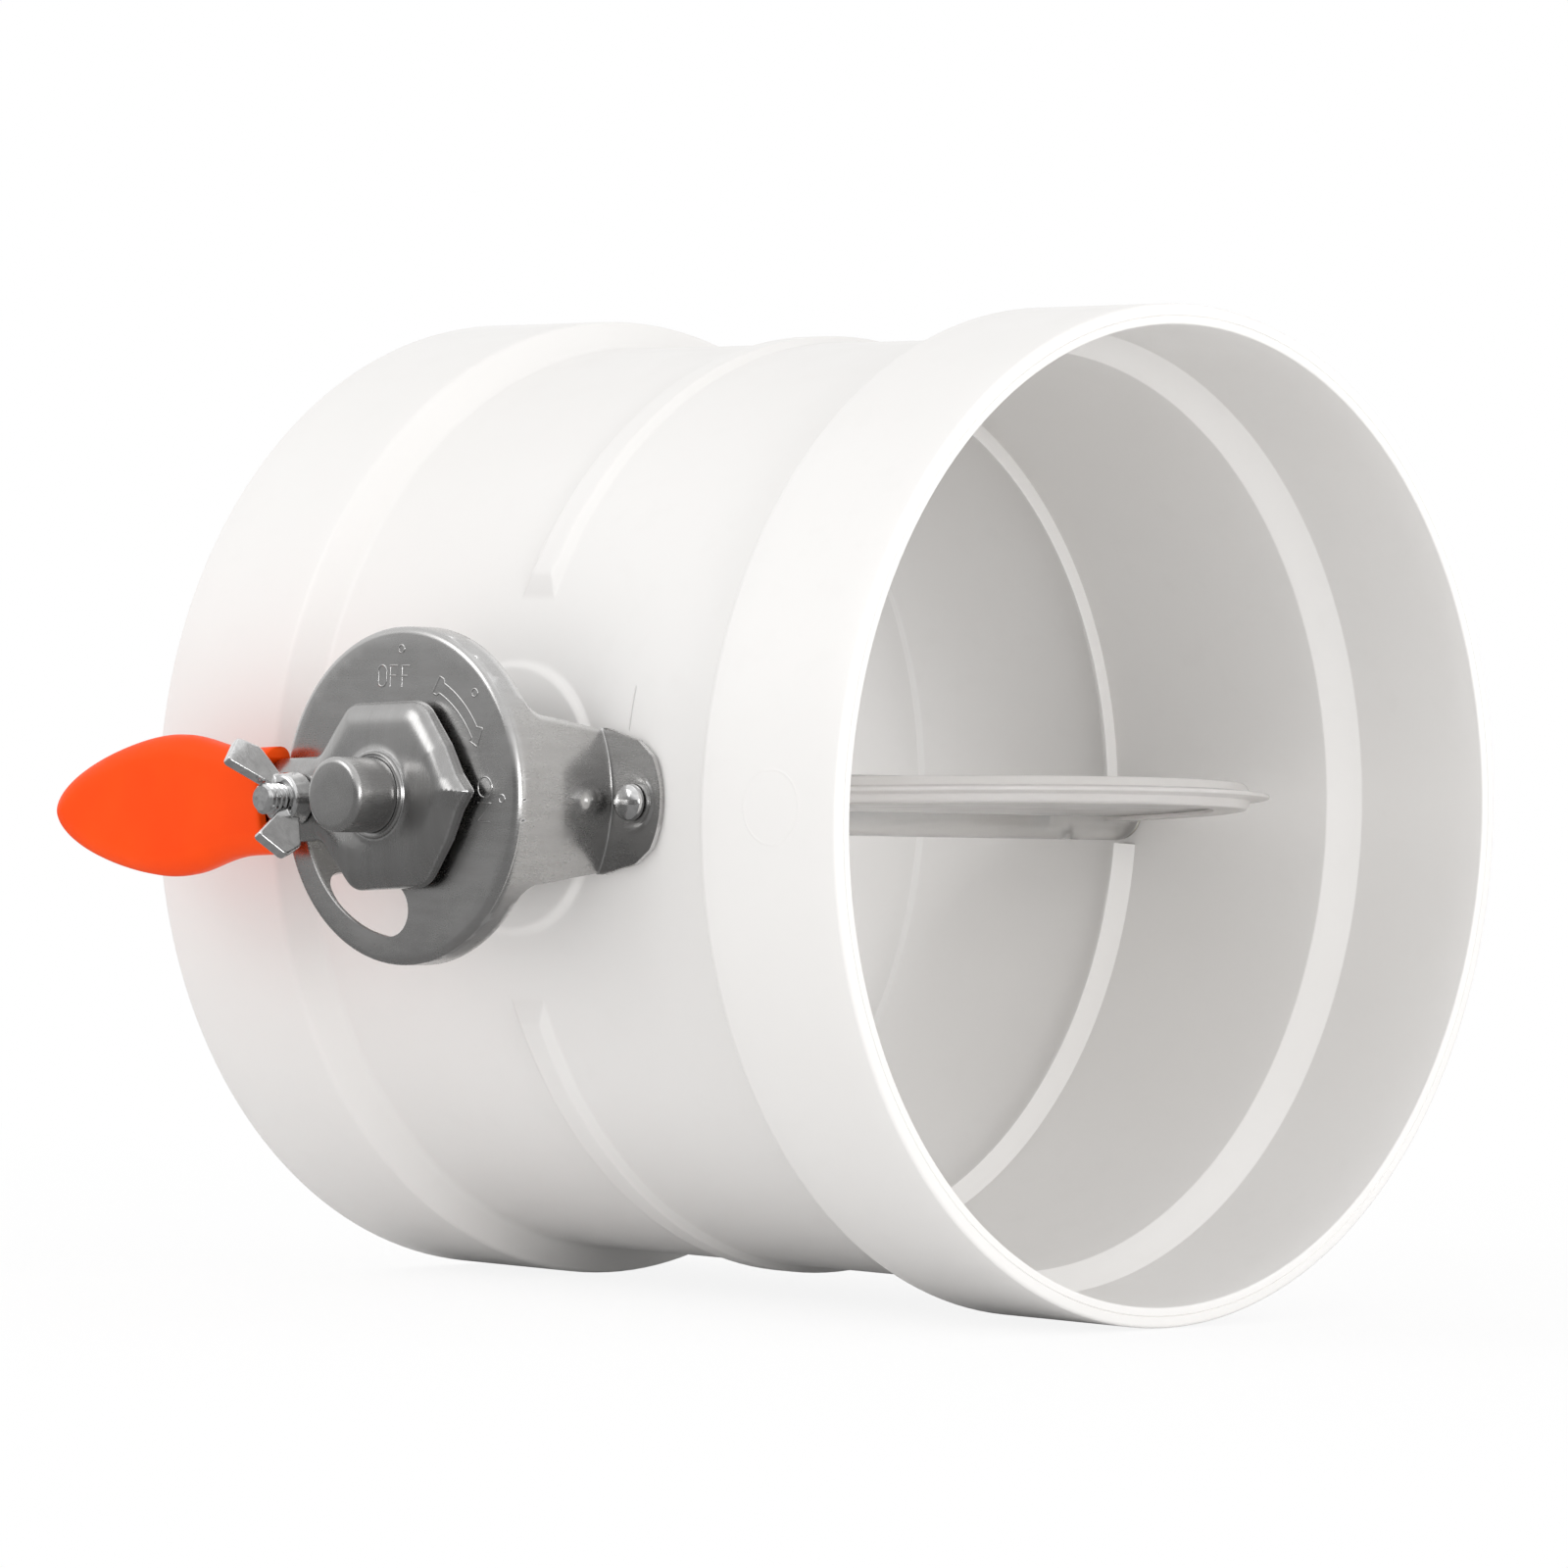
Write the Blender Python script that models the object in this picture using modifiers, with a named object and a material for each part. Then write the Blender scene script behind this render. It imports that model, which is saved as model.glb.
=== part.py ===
"""Manual volume control damper for a round air duct of 200 mm.

A moulded duct body carries a round blade on a cross shaft. Outside, a hand lever turns the shaft over a
fixed dial bracket, and a wing nut on a bolt in the bracket's curved slot locks the lever.

Frame: the origin is where the duct's axis meets the shaft's axis. +X runs along the duct, the shaft lies
along Y with the dial at -Y, and +Z is up. Lengths are in metres and angles in degrees.
"""
import math

import bmesh
import bpy
from mathutils import Matrix

# Clearances
TOUCH = 0.0003
SOCKET_GAP = 0.0003
WELD = 0.000002
OVERSHOOT = 1.2

# Duct body
BODY_LENGTH = 0.1934
SOCKET_R = 0.0988
COLLAR_WALL = 0.0042
SHOULDER_RUN = 0.0050
STOP_HEIGHT = 0.0045
STOP_RUN = 0.0061
STOP_SETBACK = 0.0032
MIDDLE_WALL = 0.0027
RIM_CHAMFER = 0.0006
RIB_HEIGHT = 0.0015
RIB_CREST_WIDTH = 0.0054
RIB_BASE_WIDTH = 0.0092
RIB_END_ANGLE = 24.7
RIB_RAMP_ANGLE = 2.8
PAD_MARGIN = 0.0054
PAD_PROUD = 0.0012
SEAT_HEIGHT = 0.0033
SEAT_CREST = 0.0006

# Blade and its seal
REST_ANGLE = 3.3
FULL_SWING = 90.0
DISC_THICKNESS = 0.0032
DISC_EDGE = 0.0005
HUB_WALL = 0.0022
HUB_END_GAP = 0.0006
LIP_OVERLAP = 0.0014
LIP_REACH = 0.0040
LIP_ROOT_THICKNESS = 0.0018
LIP_TIP_THICKNESS = 0.0008
CHANNEL_FLOOR = 0.0025
CHANNEL_GRIP = 0.0051
CHANNEL_LEG = 0.0008
CHANNEL_SHOULDER = 0.0010

# Shaft, pivot pin and bushings
JOURNAL_R = 0.0040
DRIVE_ENGAGEMENT = 0.0335
PIN_ENGAGEMENT = 0.0275
SHAFT_HEAD_R = 0.0074
SHAFT_HEAD_HEIGHT = 0.0112
SHAFT_HEAD_EDGE = 0.0012
LEVER_SQUARE_STEP = 0.0004
SPOT_FACE_DEPTH = 0.0010
BUSHING_WALL = 0.0017
BUSHING_FLANGE_WIDTH = 0.0045
BUSHING_FLANGE = 0.0028
SHAFT_SEAL_SECTION = 0.0012
PIN_HEAD_STEP = 0.0025
PIN_HEAD_HEIGHT = 0.0024
CAP_ROOM = 0.0007
CAP_HEADROOM = 0.0018
CAP_WALL = 0.0018
HUB_SCREW_R = 0.0015
HUB_SCREW_INSET = 0.0185
RING_WIDTH = 0.0041
RING_THICKNESS = 0.0010
RING_GROOVE = 0.0006
RING_MOUTH = 0.0046

# Dial bracket
SHEET = 0.0011
DIAL_HEIGHT = 0.0282
DIAL_R = 0.0335
DIAL_EDGE = 0.0015
FLANGE_DEPTH = 0.0070
LEG_TOP_HALF = 0.0165
LEG_FOOT_HALF = 0.0139
LEG_FILLET = 0.0040
FOOT_REACH = 0.0128
FOOT_ROOM = 0.0097
FOOT_END_R = 0.0182
FOOT_END_HALF = 0.0092
FOOT_SIDE_HALF = 0.0122
FOOT_SIDE_RUN = 0.0064
SLOT_ROOM = 0.00215
FOOT_SCREW_REACH = 0.0052
FOOT_SCREW_R = 0.0019
FOOT_SCREW_HEAD_R = 0.0037
FOOT_SCREW_HEAD = 0.0026
FOOT_SCREW_CROWN = 0.0015
FOOT_SCREW_SLOT = 0.0010
FOOT_SCREW_SLOT_DEPTH = 0.0011

# Lever and grip
LEVER_SHEET = 0.0015
LEVER_DEPTH = 0.0049
LEVER_EDGE = 0.0026
SPACER_HEIGHT = 0.0044
LEVER_SPACER_WALL = 0.0037
HEX_HALF_SIDE = 0.0097
HEX_HALF_HEIGHT = 0.0184
HEX_CORNER_X = 0.0180
NECK_HALF = 0.0084
POINTER_REACH = 0.0238
POINTER_ROOT_X = 0.0168
POINTER_ROOT_HALF = 0.0066
NECK_LENGTH = 0.0076
TANG_HALF = 0.0060
TANG_LENGTH = 0.0390
COLLAR_RING_WALL = 0.0012
COLLAR_RING_HEIGHT = 0.0011
GRIP_SETBACK = 0.0048
GRIP_SCOOP = 0.0040
GRIP_LENGTH = 0.0677
GRIP_SIDE_WALL = 0.0024
GRIP_FRONT_WALL = 0.0023
GRIP_BACK_WALL = 0.0010
GRIP_EDGE = 0.0036
GRIP_STRAIGHT = 0.0088
GRIP_BELLY = 0.0330
GRIP_SWELL = 0.0036
GRIP_SWELL_HANDLE = 0.0110
GRIP_BELLY_HANDLE = 0.0095
GRIP_TIP_HANDLE = 0.0083

# Lock bolt and wing nut
BOLT_INSET = 0.0108
BOLT_R = 0.00315
BOLT_HEAD_ACROSS = 0.0100
BOLT_HEAD_HEIGHT = 0.0036
BOLT_PROUD = 0.0047
BOLT_CHAMFER = 0.0005
WASHER_OVERLAP = 0.0025
WASHER_THICKNESS = 0.0014
NUT_WALL = 0.00215
NUT_DRAFT = 0.0007
NUT_HEIGHT = 0.0044
WING_ANGLE = 120.0
WING_THICKNESS = 0.0022
WING_EDGE = 0.0006
WING_ROOT_HEIGHT = 0.0010
WING_HOLLOW_REACH = 0.0062
WING_HOLLOW_HEIGHT = 0.0024
WING_ELBOW_REACH = 0.0116
WING_ELBOW_HEIGHT = 0.0045
WING_REACH = 0.0138
WING_REACH_HEIGHT = 0.0096
WING_TIP_REACH = 0.0084
WING_TIP_HEIGHT = 0.0147
WING_CROTCH_HEIGHT = 0.0072

# Sides of round pieces
BODY_STEPS = 72
BRACKET_STEPS = 64
SMALL_STEPS = 32
TINY_STEPS = 20

# Radii and half-widths that follow from the values above
COLLAR_R = SOCKET_R + COLLAR_WALL
BORE_R = SOCKET_R - STOP_HEIGHT
MIDDLE_R = BORE_R + MIDDLE_WALL
SEAT_R = BORE_R - SEAT_HEIGHT
LIP_R = SEAT_R + LIP_OVERLAP
CHANNEL_R = LIP_R - LIP_REACH
DISC_R = CHANNEL_R - CHANNEL_FLOOR - TOUCH
BEARING_R = JOURNAL_R + SOCKET_GAP
HUB_R = BEARING_R + HUB_WALL
HUB_GAP_HALF = HUB_R + 2 * TOUCH
DRIVE_SQUARE = math.sqrt(2) * JOURNAL_R
LEVER_SQUARE = 2 * JOURNAL_R + LEVER_SQUARE_STEP
BUSHING_TUBE_R = BEARING_R + BUSHING_WALL
BUSHING_FLANGE_R = BUSHING_TUBE_R + BUSHING_FLANGE_WIDTH
CAP_CAVITY_R = BUSHING_FLANGE_R + CAP_ROOM
CAP_R = CAP_CAVITY_R + CAP_WALL
SPOT_FACE_R = CAP_R + SOCKET_GAP
LEG_INNER_R = DIAL_R - SHEET
PAD_R = LEG_INNER_R - PAD_MARGIN
BOLT_PLACE = DIAL_R - BOLT_INSET
BOLT_HOLE_R = BOLT_R + SOCKET_GAP
SLOT_HALF = BOLT_R + SLOT_ROOM

# Lengths along the duct: the collars start clear of the bracket's feet
SHOULDER_START = DIAL_R + FOOT_REACH + FOOT_ROOM
COLLAR_LENGTH = BODY_LENGTH / 2 - SHOULDER_START - SHOULDER_RUN
SOCKET_DEPTH = COLLAR_LENGTH - STOP_SETBACK

# Levels along the shaft, outwards from the duct's axis
HUB_END = math.sqrt(BORE_R ** 2 - HUB_R ** 2) - HUB_END_GAP
HUB_SCREW_PLACE = HUB_END - HUB_SCREW_INSET
PAD_TOP = MIDDLE_R + PAD_PROUD
SPOT_LEVEL = PAD_TOP - SPOT_FACE_DEPTH
BUSHING_SEAT = SPOT_LEVEL + TOUCH
BUSHING_TOP = BUSHING_SEAT + BUSHING_FLANGE
FOOT_TOP = MIDDLE_R + TOUCH + SHEET
DIAL_FACE = MIDDLE_R + TOUCH + DIAL_HEIGHT
DIAL_BACK = DIAL_FACE - SHEET
RING_TOP = DIAL_BACK - TOUCH
WASHER_LOW = DIAL_BACK - TOUCH - WASHER_THICKNESS
BOLT_HEAD_TOP = WASHER_LOW - TOUCH
SPACER_LOW = DIAL_FACE + TOUCH
SPACER_TOP = SPACER_LOW + SPACER_HEIGHT
LEVER_BACK = SPACER_TOP + TOUCH
LEVER_FACE = LEVER_BACK + LEVER_SHEET
LEVER_RIM = LEVER_FACE - LEVER_DEPTH
NUT_LOW = LEVER_FACE + TOUCH
NUT_TOP = NUT_LOW + NUT_HEIGHT

# Directions: each matrix turns a piece's own axes into the object's
ALONG_DUCT = Matrix(((0, 0, 1), (1, 0, 0), (0, 1, 0)))
FRONT = Matrix(((1, 0, 0), (0, 0, -1), (0, 1, 0)))
REAR = Matrix(((-1, 0, 0), (0, 0, 1), (0, 1, 0)))
UPRIGHT = Matrix.Identity(3)
DOWNWARD = Matrix(((1, 0, 0), (0, -1, 0), (0, 0, -1)))
ACROSS_LEGS = FRONT @ ALONG_DUCT
CENTRE = (0.0, 0.0)


def start_scene():
    """Empty the scene and make the collections for the parts and for the cutters."""
    for obj in list(bpy.data.objects):
        bpy.data.objects.remove(obj, do_unlink=True)
    collections = []
    for name in ("volume_control_damper", "cutters"):
        collection = bpy.data.collections.new(name)
        bpy.context.scene.collection.children.link(collection)
        collections.append(collection)
    return collections


PARTS, CUTTERS = start_scene()


def make_material(name, colour, roughness, metallic=0.0):
    """A Principled material with the piece's colour, roughness and metallic value."""
    material = bpy.data.materials.new(name)
    material.use_nodes = True
    shader = material.node_tree.nodes["Principled BSDF"]
    shader.inputs["Base Color"].default_value = (*colour, 1.0)
    shader.inputs["Roughness"].default_value = roughness
    shader.inputs["Metallic"].default_value = metallic
    material.diffuse_color = (*colour, 1.0)
    return material


WHITE_PLASTIC = make_material("white_plastic", (0.88, 0.87, 0.85), 0.38)
CLEAR_PLASTIC = make_material("clear_plastic", (0.78, 0.80, 0.78), 0.30)
SEAL_RUBBER = make_material("seal_rubber", (0.84, 0.84, 0.81), 0.45)
BLACK_RUBBER = make_material("black_rubber", (0.03, 0.03, 0.03), 0.60)
NYLON = make_material("nylon", (0.80, 0.78, 0.72), 0.45)
BRUSHED_STEEL = make_material("brushed_steel", (0.42, 0.41, 0.40), 0.35, 1.0)
BRIGHT_ZINC = make_material("bright_zinc", (0.72, 0.72, 0.74), 0.18, 1.0)
ORANGE_VINYL = make_material("orange_vinyl", (1.0, 0.08, 0.003), 0.35)


def add_object(name, data, facing, height=0.0, parent=None, at=CENTRE):
    """Link a shape with the cutters, turned to its direction and moved along its own axes."""
    obj = bpy.data.objects.new(name, data)
    obj.matrix_basis = facing.to_4x4() @ Matrix.Translation((at[0], at[1], height))
    obj.parent = parent
    obj.hide_render = True
    obj.display_type = "WIRE"
    CUTTERS.objects.link(obj)
    return obj


def add_axis(name, place, turn, parent=None):
    """An empty that carries the pieces of one moving body."""
    axis = bpy.data.objects.new(name, None)
    axis.empty_display_size = SHAFT_HEAD_R
    axis.location = place
    axis.rotation_euler = (0.0, math.radians(turn), 0.0)
    axis.parent = parent
    PARTS.objects.link(axis)
    return axis


def evaluated_mesh(obj):
    """An object's evaluated mesh, with its doubled points and its slivers welded."""
    bpy.context.view_layer.update()
    evaluated = obj.evaluated_get(bpy.context.evaluated_depsgraph_get())
    mesh = bpy.data.meshes.new_from_object(evaluated)
    welded = bmesh.new()
    welded.from_mesh(mesh)
    bmesh.ops.remove_doubles(welded, verts=welded.verts, dist=WELD)
    bmesh.ops.dissolve_degenerate(welded, edges=welded.edges, dist=WELD)
    welded.to_mesh(mesh)
    welded.free()
    return mesh


def bake(obj):
    """Replace an object's mesh by its evaluated one."""
    mesh = evaluated_mesh(obj)
    obj.modifiers.clear()
    obj.data = mesh


def finish_part(obj, material, smooth_angle=40.0):
    """Move a finished shape to the parts and give it its surface."""
    CUTTERS.objects.unlink(obj)
    PARTS.objects.link(obj)
    obj.hide_render = False
    obj.display_type = "TEXTURED"
    obj.data.materials.clear()
    obj.data.materials.append(material)
    obj.data.shade_smooth()
    obj.data.set_sharp_from_angle(angle=math.radians(smooth_angle))


def turned(name, profile, facing, steps, parent=None, at=CENTRE):
    """A turned solid from a profile of (radius, height) that runs down its outer side."""
    points = [(radius, 0.0, height) for radius, height in profile]
    edges = [(i, i + 1) for i in range(len(points) - 1)]
    if profile[0][0] > 0.0:
        edges.append((len(points) - 1, 0))
    mesh = bpy.data.meshes.new(name)
    mesh.from_pydata(points, edges, [])
    obj = add_object(name, mesh, facing, 0.0, parent, at)
    screw = obj.modifiers.new("Turn", "SCREW")
    screw.axis = "Z"
    screw.steps = steps
    screw.render_steps = steps
    screw.use_merge_vertices = True
    screw.merge_threshold = WELD
    bake(obj)
    return obj


def ring(name, inner, outer, low, high, facing, steps, parent=None, at=CENTRE):
    """A plain ring between two radii and two heights."""
    profile = [(outer, high), (outer, low), (inner, low), (inner, high)]
    return turned(name, profile, facing, steps, parent, at)


def rod(name, radius, low, high, facing, steps, parent=None, at=CENTRE):
    """A plain cylinder between two heights."""
    profile = [(0.0, high), (radius, high), (radius, low), (0.0, low)]
    return turned(name, profile, facing, steps, parent, at)


def block(name, size_x, size_y, low, high, facing, parent=None, at=CENTRE):
    """A box between two heights."""
    cube = bmesh.new()
    bmesh.ops.create_cube(cube, size=1.0)
    bmesh.ops.scale(cube, vec=(size_x, size_y, high - low), verts=cube.verts)
    mesh = bpy.data.meshes.new(name)
    cube.to_mesh(mesh)
    cube.free()
    return add_object(name, mesh, facing, (low + high) / 2, parent, at)


def plate(name, outline, low, high, facing, parent=None, at=CENTRE, rounding=0.0, inset=0.0):
    """A flat outline with a thickness, drawn in by inset and then swelled by its edges' rounding."""
    curve = bpy.data.curves.new(name, "CURVE")
    curve.dimensions = "2D"
    curve.fill_mode = "BOTH"
    curve.extrude = (high - low) / 2 - rounding
    curve.bevel_depth = rounding
    curve.bevel_resolution = 2
    curve.offset = -inset
    spline = curve.splines.new("POLY")
    spline.points.add(len(outline) - 1)
    for point, (x, y) in zip(spline.points, outline):
        point.co = (x, y, 0.0, 1.0)
    spline.use_cyclic_u = True
    drawn = add_object(name + "_curve", curve, facing, (low + high) / 2, parent, at)
    mesh = evaluated_mesh(drawn)
    bpy.data.objects.remove(drawn, do_unlink=True)
    return add_object(name, mesh, facing, (low + high) / 2, parent, at)


def combine(obj, others, operation):
    """Run one Boolean after another on an object."""
    for other in others:
        step = obj.modifiers.new("Combine", "BOOLEAN")
        step.operation = operation
        step.solver = "EXACT"
        step.object = other
        bake(obj)
    return obj


def join(obj, *others):
    """Unite an object with others."""
    return combine(obj, others, "UNION")


def cut(obj, *others):
    """Cut others out of an object."""
    return combine(obj, others, "DIFFERENCE")


def keep_inside(obj, *others):
    """Keep what an object shares with each of the others."""
    return combine(obj, others, "INTERSECT")


def arc(centre, radius, start, end, steps):
    """Points on an arc between two angles."""
    points = []
    for i in range(steps + 1):
        angle = math.radians(start + (end - start) * i / steps)
        points.append((centre[0] + radius * math.cos(angle), centre[1] + radius * math.sin(angle)))
    return points


def polar(radius, angle):
    """The point at a radius and an angle."""
    return arc(CENTRE, radius, angle, angle, 1)[0]


def bezier(start, start_handle, end_handle, end, steps):
    """Points on a cubic curve between two points."""
    points = []
    for i in range(steps + 1):
        t = i / steps
        weights = ((1 - t) ** 3, 3 * t * (1 - t) ** 2, 3 * t ** 2 * (1 - t), t ** 3)
        corners = (start, start_handle, end_handle, end)
        x = sum(weight * corner[0] for weight, corner in zip(weights, corners))
        y = sum(weight * corner[1] for weight, corner in zip(weights, corners))
        points.append((x, y))
    return points


def body_shell():
    """The duct body's wall: two collars, two shoulders and the narrower middle."""
    half = BODY_LENGTH / 2
    outer = [
        (COLLAR_R - RIM_CHAMFER, half),
        (COLLAR_R, half - RIM_CHAMFER),
        (COLLAR_R, half - COLLAR_LENGTH),
        (MIDDLE_R, half - COLLAR_LENGTH - SHOULDER_RUN),
    ]
    inner = [
        (SOCKET_R + RIM_CHAMFER, half),
        (SOCKET_R, half - RIM_CHAMFER),
        (SOCKET_R, half - SOCKET_DEPTH),
        (BORE_R, half - SOCKET_DEPTH - STOP_RUN),
    ]
    outer_far = [(radius, -height) for radius, height in reversed(outer)]
    inner_far = [(radius, -height) for radius, height in inner]
    profile = outer + outer_far + inner_far + list(reversed(inner))
    return turned("duct_body", profile, ALONG_DUCT, BODY_STEPS)


def lip_half_thickness(radius):
    """Half of the seal lip's thickness at a radius."""
    share = (radius - CHANNEL_R) / LIP_REACH
    return (LIP_ROOT_THICKNESS + share * (LIP_TIP_THICKNESS - LIP_ROOT_THICKNESS)) / 2


def blade_seat(name, side):
    """Half ring that the blade's lip closes on: above the shaft at side 1, below it at side -1."""
    face = lip_half_thickness(SEAT_R) + TOUCH
    root_r = BORE_R + MIDDLE_WALL / 2
    slope_end = face + SEAT_CREST + root_r - SEAT_R
    profile = [(root_r, -face), (root_r, -slope_end), (SEAT_R, -face - SEAT_CREST), (SEAT_R, -face)]
    if side < 0:
        profile = [(radius, -height) for radius, height in reversed(profile)]
    seat = turned(name, profile, ALONG_DUCT, BODY_STEPS)
    low, high = sorted((side * HUB_GAP_HALF, -side * 2 * BORE_R))
    return cut(seat, block(name + "_away", 3 * BORE_R, 3 * BORE_R, low, high, UPRIGHT))


def outer_rib():
    """The raised rib round the middle, open over both pivots, with ramped ends."""
    slope = (RIB_BASE_WIDTH - RIB_CREST_WIDTH) / 2 / RIB_HEIGHT
    root = MIDDLE_WALL / 3
    base_half = RIB_BASE_WIDTH / 2 + slope * root
    crest_half = RIB_CREST_WIDTH / 2
    crest_r = MIDDLE_R + RIB_HEIGHT
    root_r = MIDDLE_R - root
    profile = [(crest_r, crest_half), (crest_r, -crest_half), (root_r, -base_half), (root_r, base_half)]
    rib = turned("outer_rib", profile, ALONG_DUCT, BODY_STEPS)
    base = polar(MIDDLE_R, RIB_END_ANGLE)
    crest = polar(crest_r, RIB_END_ANGLE + RIB_RAMP_ANGLE)
    run = (crest[0] - base[0], crest[1] - base[1])
    inside = (base[0] - OVERSHOOT * run[0], base[1] - OVERSHOOT * run[1])
    outside = (crest[0] + run[0], crest[1] + run[1])
    far = (OVERSHOOT * crest_r, outside[1])
    for name, side in (("rib_gap_front", -1), ("rib_gap_rear", 1)):
        upper = [(side * y, z) for y, z in (inside, outside, far)]
        lower = [(y, -z) for y, z in reversed(upper)]
        cut(rib, plate(name, upper + lower, -RIB_BASE_WIDTH, RIB_BASE_WIDTH, ALONG_DUCT))
    return rib


def pivot_pads():
    """The two round pads that stand a little proud of the middle at the pivots."""
    reach = OVERSHOOT * PAD_R
    pads = ring("pivot_pads", MIDDLE_R - MIDDLE_WALL / 2, PAD_TOP, -reach, reach, ALONG_DUCT, BODY_STEPS)
    return keep_inside(pads, rod("pad_column", PAD_R, -2 * PAD_TOP, 2 * PAD_TOP, FRONT, SMALL_STEPS))


def make_duct_body():
    """The moulded body: shell, blade seats, rib and pads, with its pivot and screw holes."""
    body = body_shell()
    join(body, blade_seat("upper_seat", 1), blade_seat("lower_seat", -1), outer_rib(), pivot_pads())
    inside = BORE_R / OVERSHOOT
    outside = PAD_TOP + BUSHING_FLANGE
    for facing in (FRONT, REAR):
        hole = rod("pivot_hole", BUSHING_TUBE_R + SOCKET_GAP, inside, outside, facing, SMALL_STEPS)
        spot_face = rod("spot_face", SPOT_FACE_R, SPOT_LEVEL, outside, facing, SMALL_STEPS)
        cut(body, hole, spot_face)
    for place in foot_screw_places():
        radius = FOOT_SCREW_R + SOCKET_GAP
        cut(body, rod("screw_hole", radius, inside, outside, FRONT, TINY_STEPS, None, place))
    finish_part(body, WHITE_PLASTIC)


def make_bushing(name, facing):
    """Flanged bearing in the body's pivot hole, with a groove for the shaft's seal."""
    groove_r = BEARING_R + SHAFT_SEAL_SECTION + TOUCH
    groove_middle = (BUSHING_SEAT + BUSHING_TOP) / 2
    groove_half = SHAFT_SEAL_SECTION / 2 + TOUCH
    tube_end = math.sqrt(BORE_R ** 2 - BUSHING_TUBE_R ** 2)
    profile = [
        (BUSHING_FLANGE_R, BUSHING_TOP),
        (BUSHING_FLANGE_R, BUSHING_SEAT),
        (BUSHING_TUBE_R, BUSHING_SEAT),
        (BUSHING_TUBE_R, tube_end),
        (BEARING_R, tube_end),
        (BEARING_R, groove_middle - groove_half),
        (groove_r, groove_middle - groove_half),
        (groove_r, groove_middle + groove_half),
        (BEARING_R, groove_middle + groove_half),
        (BEARING_R, BUSHING_TOP),
    ]
    finish_part(turned(name, profile, facing, SMALL_STEPS), NYLON)


def make_shaft_seal(name, facing):
    """Round seal ring in the bushing's groove."""
    half = SHAFT_SEAL_SECTION / 2
    middle = (BUSHING_SEAT + BUSHING_TOP) / 2
    profile = arc((BEARING_R + half, middle), half, 90, -225, 7)
    finish_part(turned(name, profile, facing, SMALL_STEPS), BLACK_RUBBER, 60.0)


def make_pivot_cap():
    """Cover over the rear pivot, on the body's spot face."""
    base = SPOT_LEVEL + TOUCH
    cavity_top = BUSHING_TOP + TOUCH + PIN_HEAD_HEIGHT + CAP_HEADROOM
    top = cavity_top + CAP_WALL
    edge = CAP_WALL / 2
    corner = arc((CAP_R - edge, top - edge), edge, 90, 0, 3)
    inside = [(CAP_R, base), (CAP_CAVITY_R, base), (CAP_CAVITY_R, cavity_top), (0.0, cavity_top)]
    finish_part(turned("rear_pivot_cap", [(0.0, top)] + corner + inside, REAR, SMALL_STEPS), WHITE_PLASTIC)


def leg_gap_outline(side):
    """The space beside the bracket's legs, above them at side 1 and below them at side -1."""
    flange_end = DIAL_FACE - FLANGE_DEPTH
    taper = (LEG_TOP_HALF - LEG_FOOT_HALF) / (flange_end - MIDDLE_R)
    low_half = LEG_FOOT_HALF - taper * (MIDDLE_R - BORE_R)
    far = OVERSHOOT * DIAL_R
    fillet = arc((LEG_TOP_HALF + LEG_FILLET, flange_end - LEG_FILLET), LEG_FILLET, 180, 90, 4)
    outline = [(low_half, BORE_R)] + fillet + [(far, flange_end), (far, BORE_R)]
    return [(side * z, level) for z, level in outline]


def foot_outline(side):
    """One foot, seen from the dial: straight sides, clipped corners and a round end."""
    start = math.sqrt(LEG_INNER_R ** 2 - LEG_FOOT_HALF ** 2)
    end_centre = (DIAL_R + FOOT_REACH - FOOT_END_R, 0.0)
    end_angle = math.degrees(math.asin(FOOT_END_HALF / FOOT_END_R))
    upper = [(start, LEG_FOOT_HALF), (DIAL_R + FOOT_SIDE_RUN, FOOT_SIDE_HALF)]
    lower = [(x, -z) for x, z in reversed(upper)]
    outline = upper + arc(end_centre, FOOT_END_R, end_angle, -end_angle, 6) + lower
    return [(side * x, z) for x, z in outline]


def slot_outline():
    """The lock bolt's curved slot, from fully open at 180 degrees round to closed below the shaft."""
    end_margin = math.degrees((SLOT_ROOM - SOCKET_GAP) / BOLT_PLACE)
    first = 180.0 + end_margin
    last = 180.0 + FULL_SWING - end_margin
    outer = arc(CENTRE, BOLT_PLACE + SLOT_HALF, first, last, 12)
    inner = arc(CENTRE, BOLT_PLACE - SLOT_HALF, last, first, 10)
    last_cap = arc(polar(BOLT_PLACE, last), SLOT_HALF, last, last + 180, 8)[1:-1]
    first_cap = arc(polar(BOLT_PLACE, first), SLOT_HALF, first + 180, first + 360, 8)[1:-1]
    return outer + last_cap + inner + first_cap


def foot_screw_places():
    """Places of the left and the right foot screw."""
    return (-DIAL_R - FOOT_SCREW_REACH, 0.0), (DIAL_R + FOOT_SCREW_REACH, 0.0)


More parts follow.
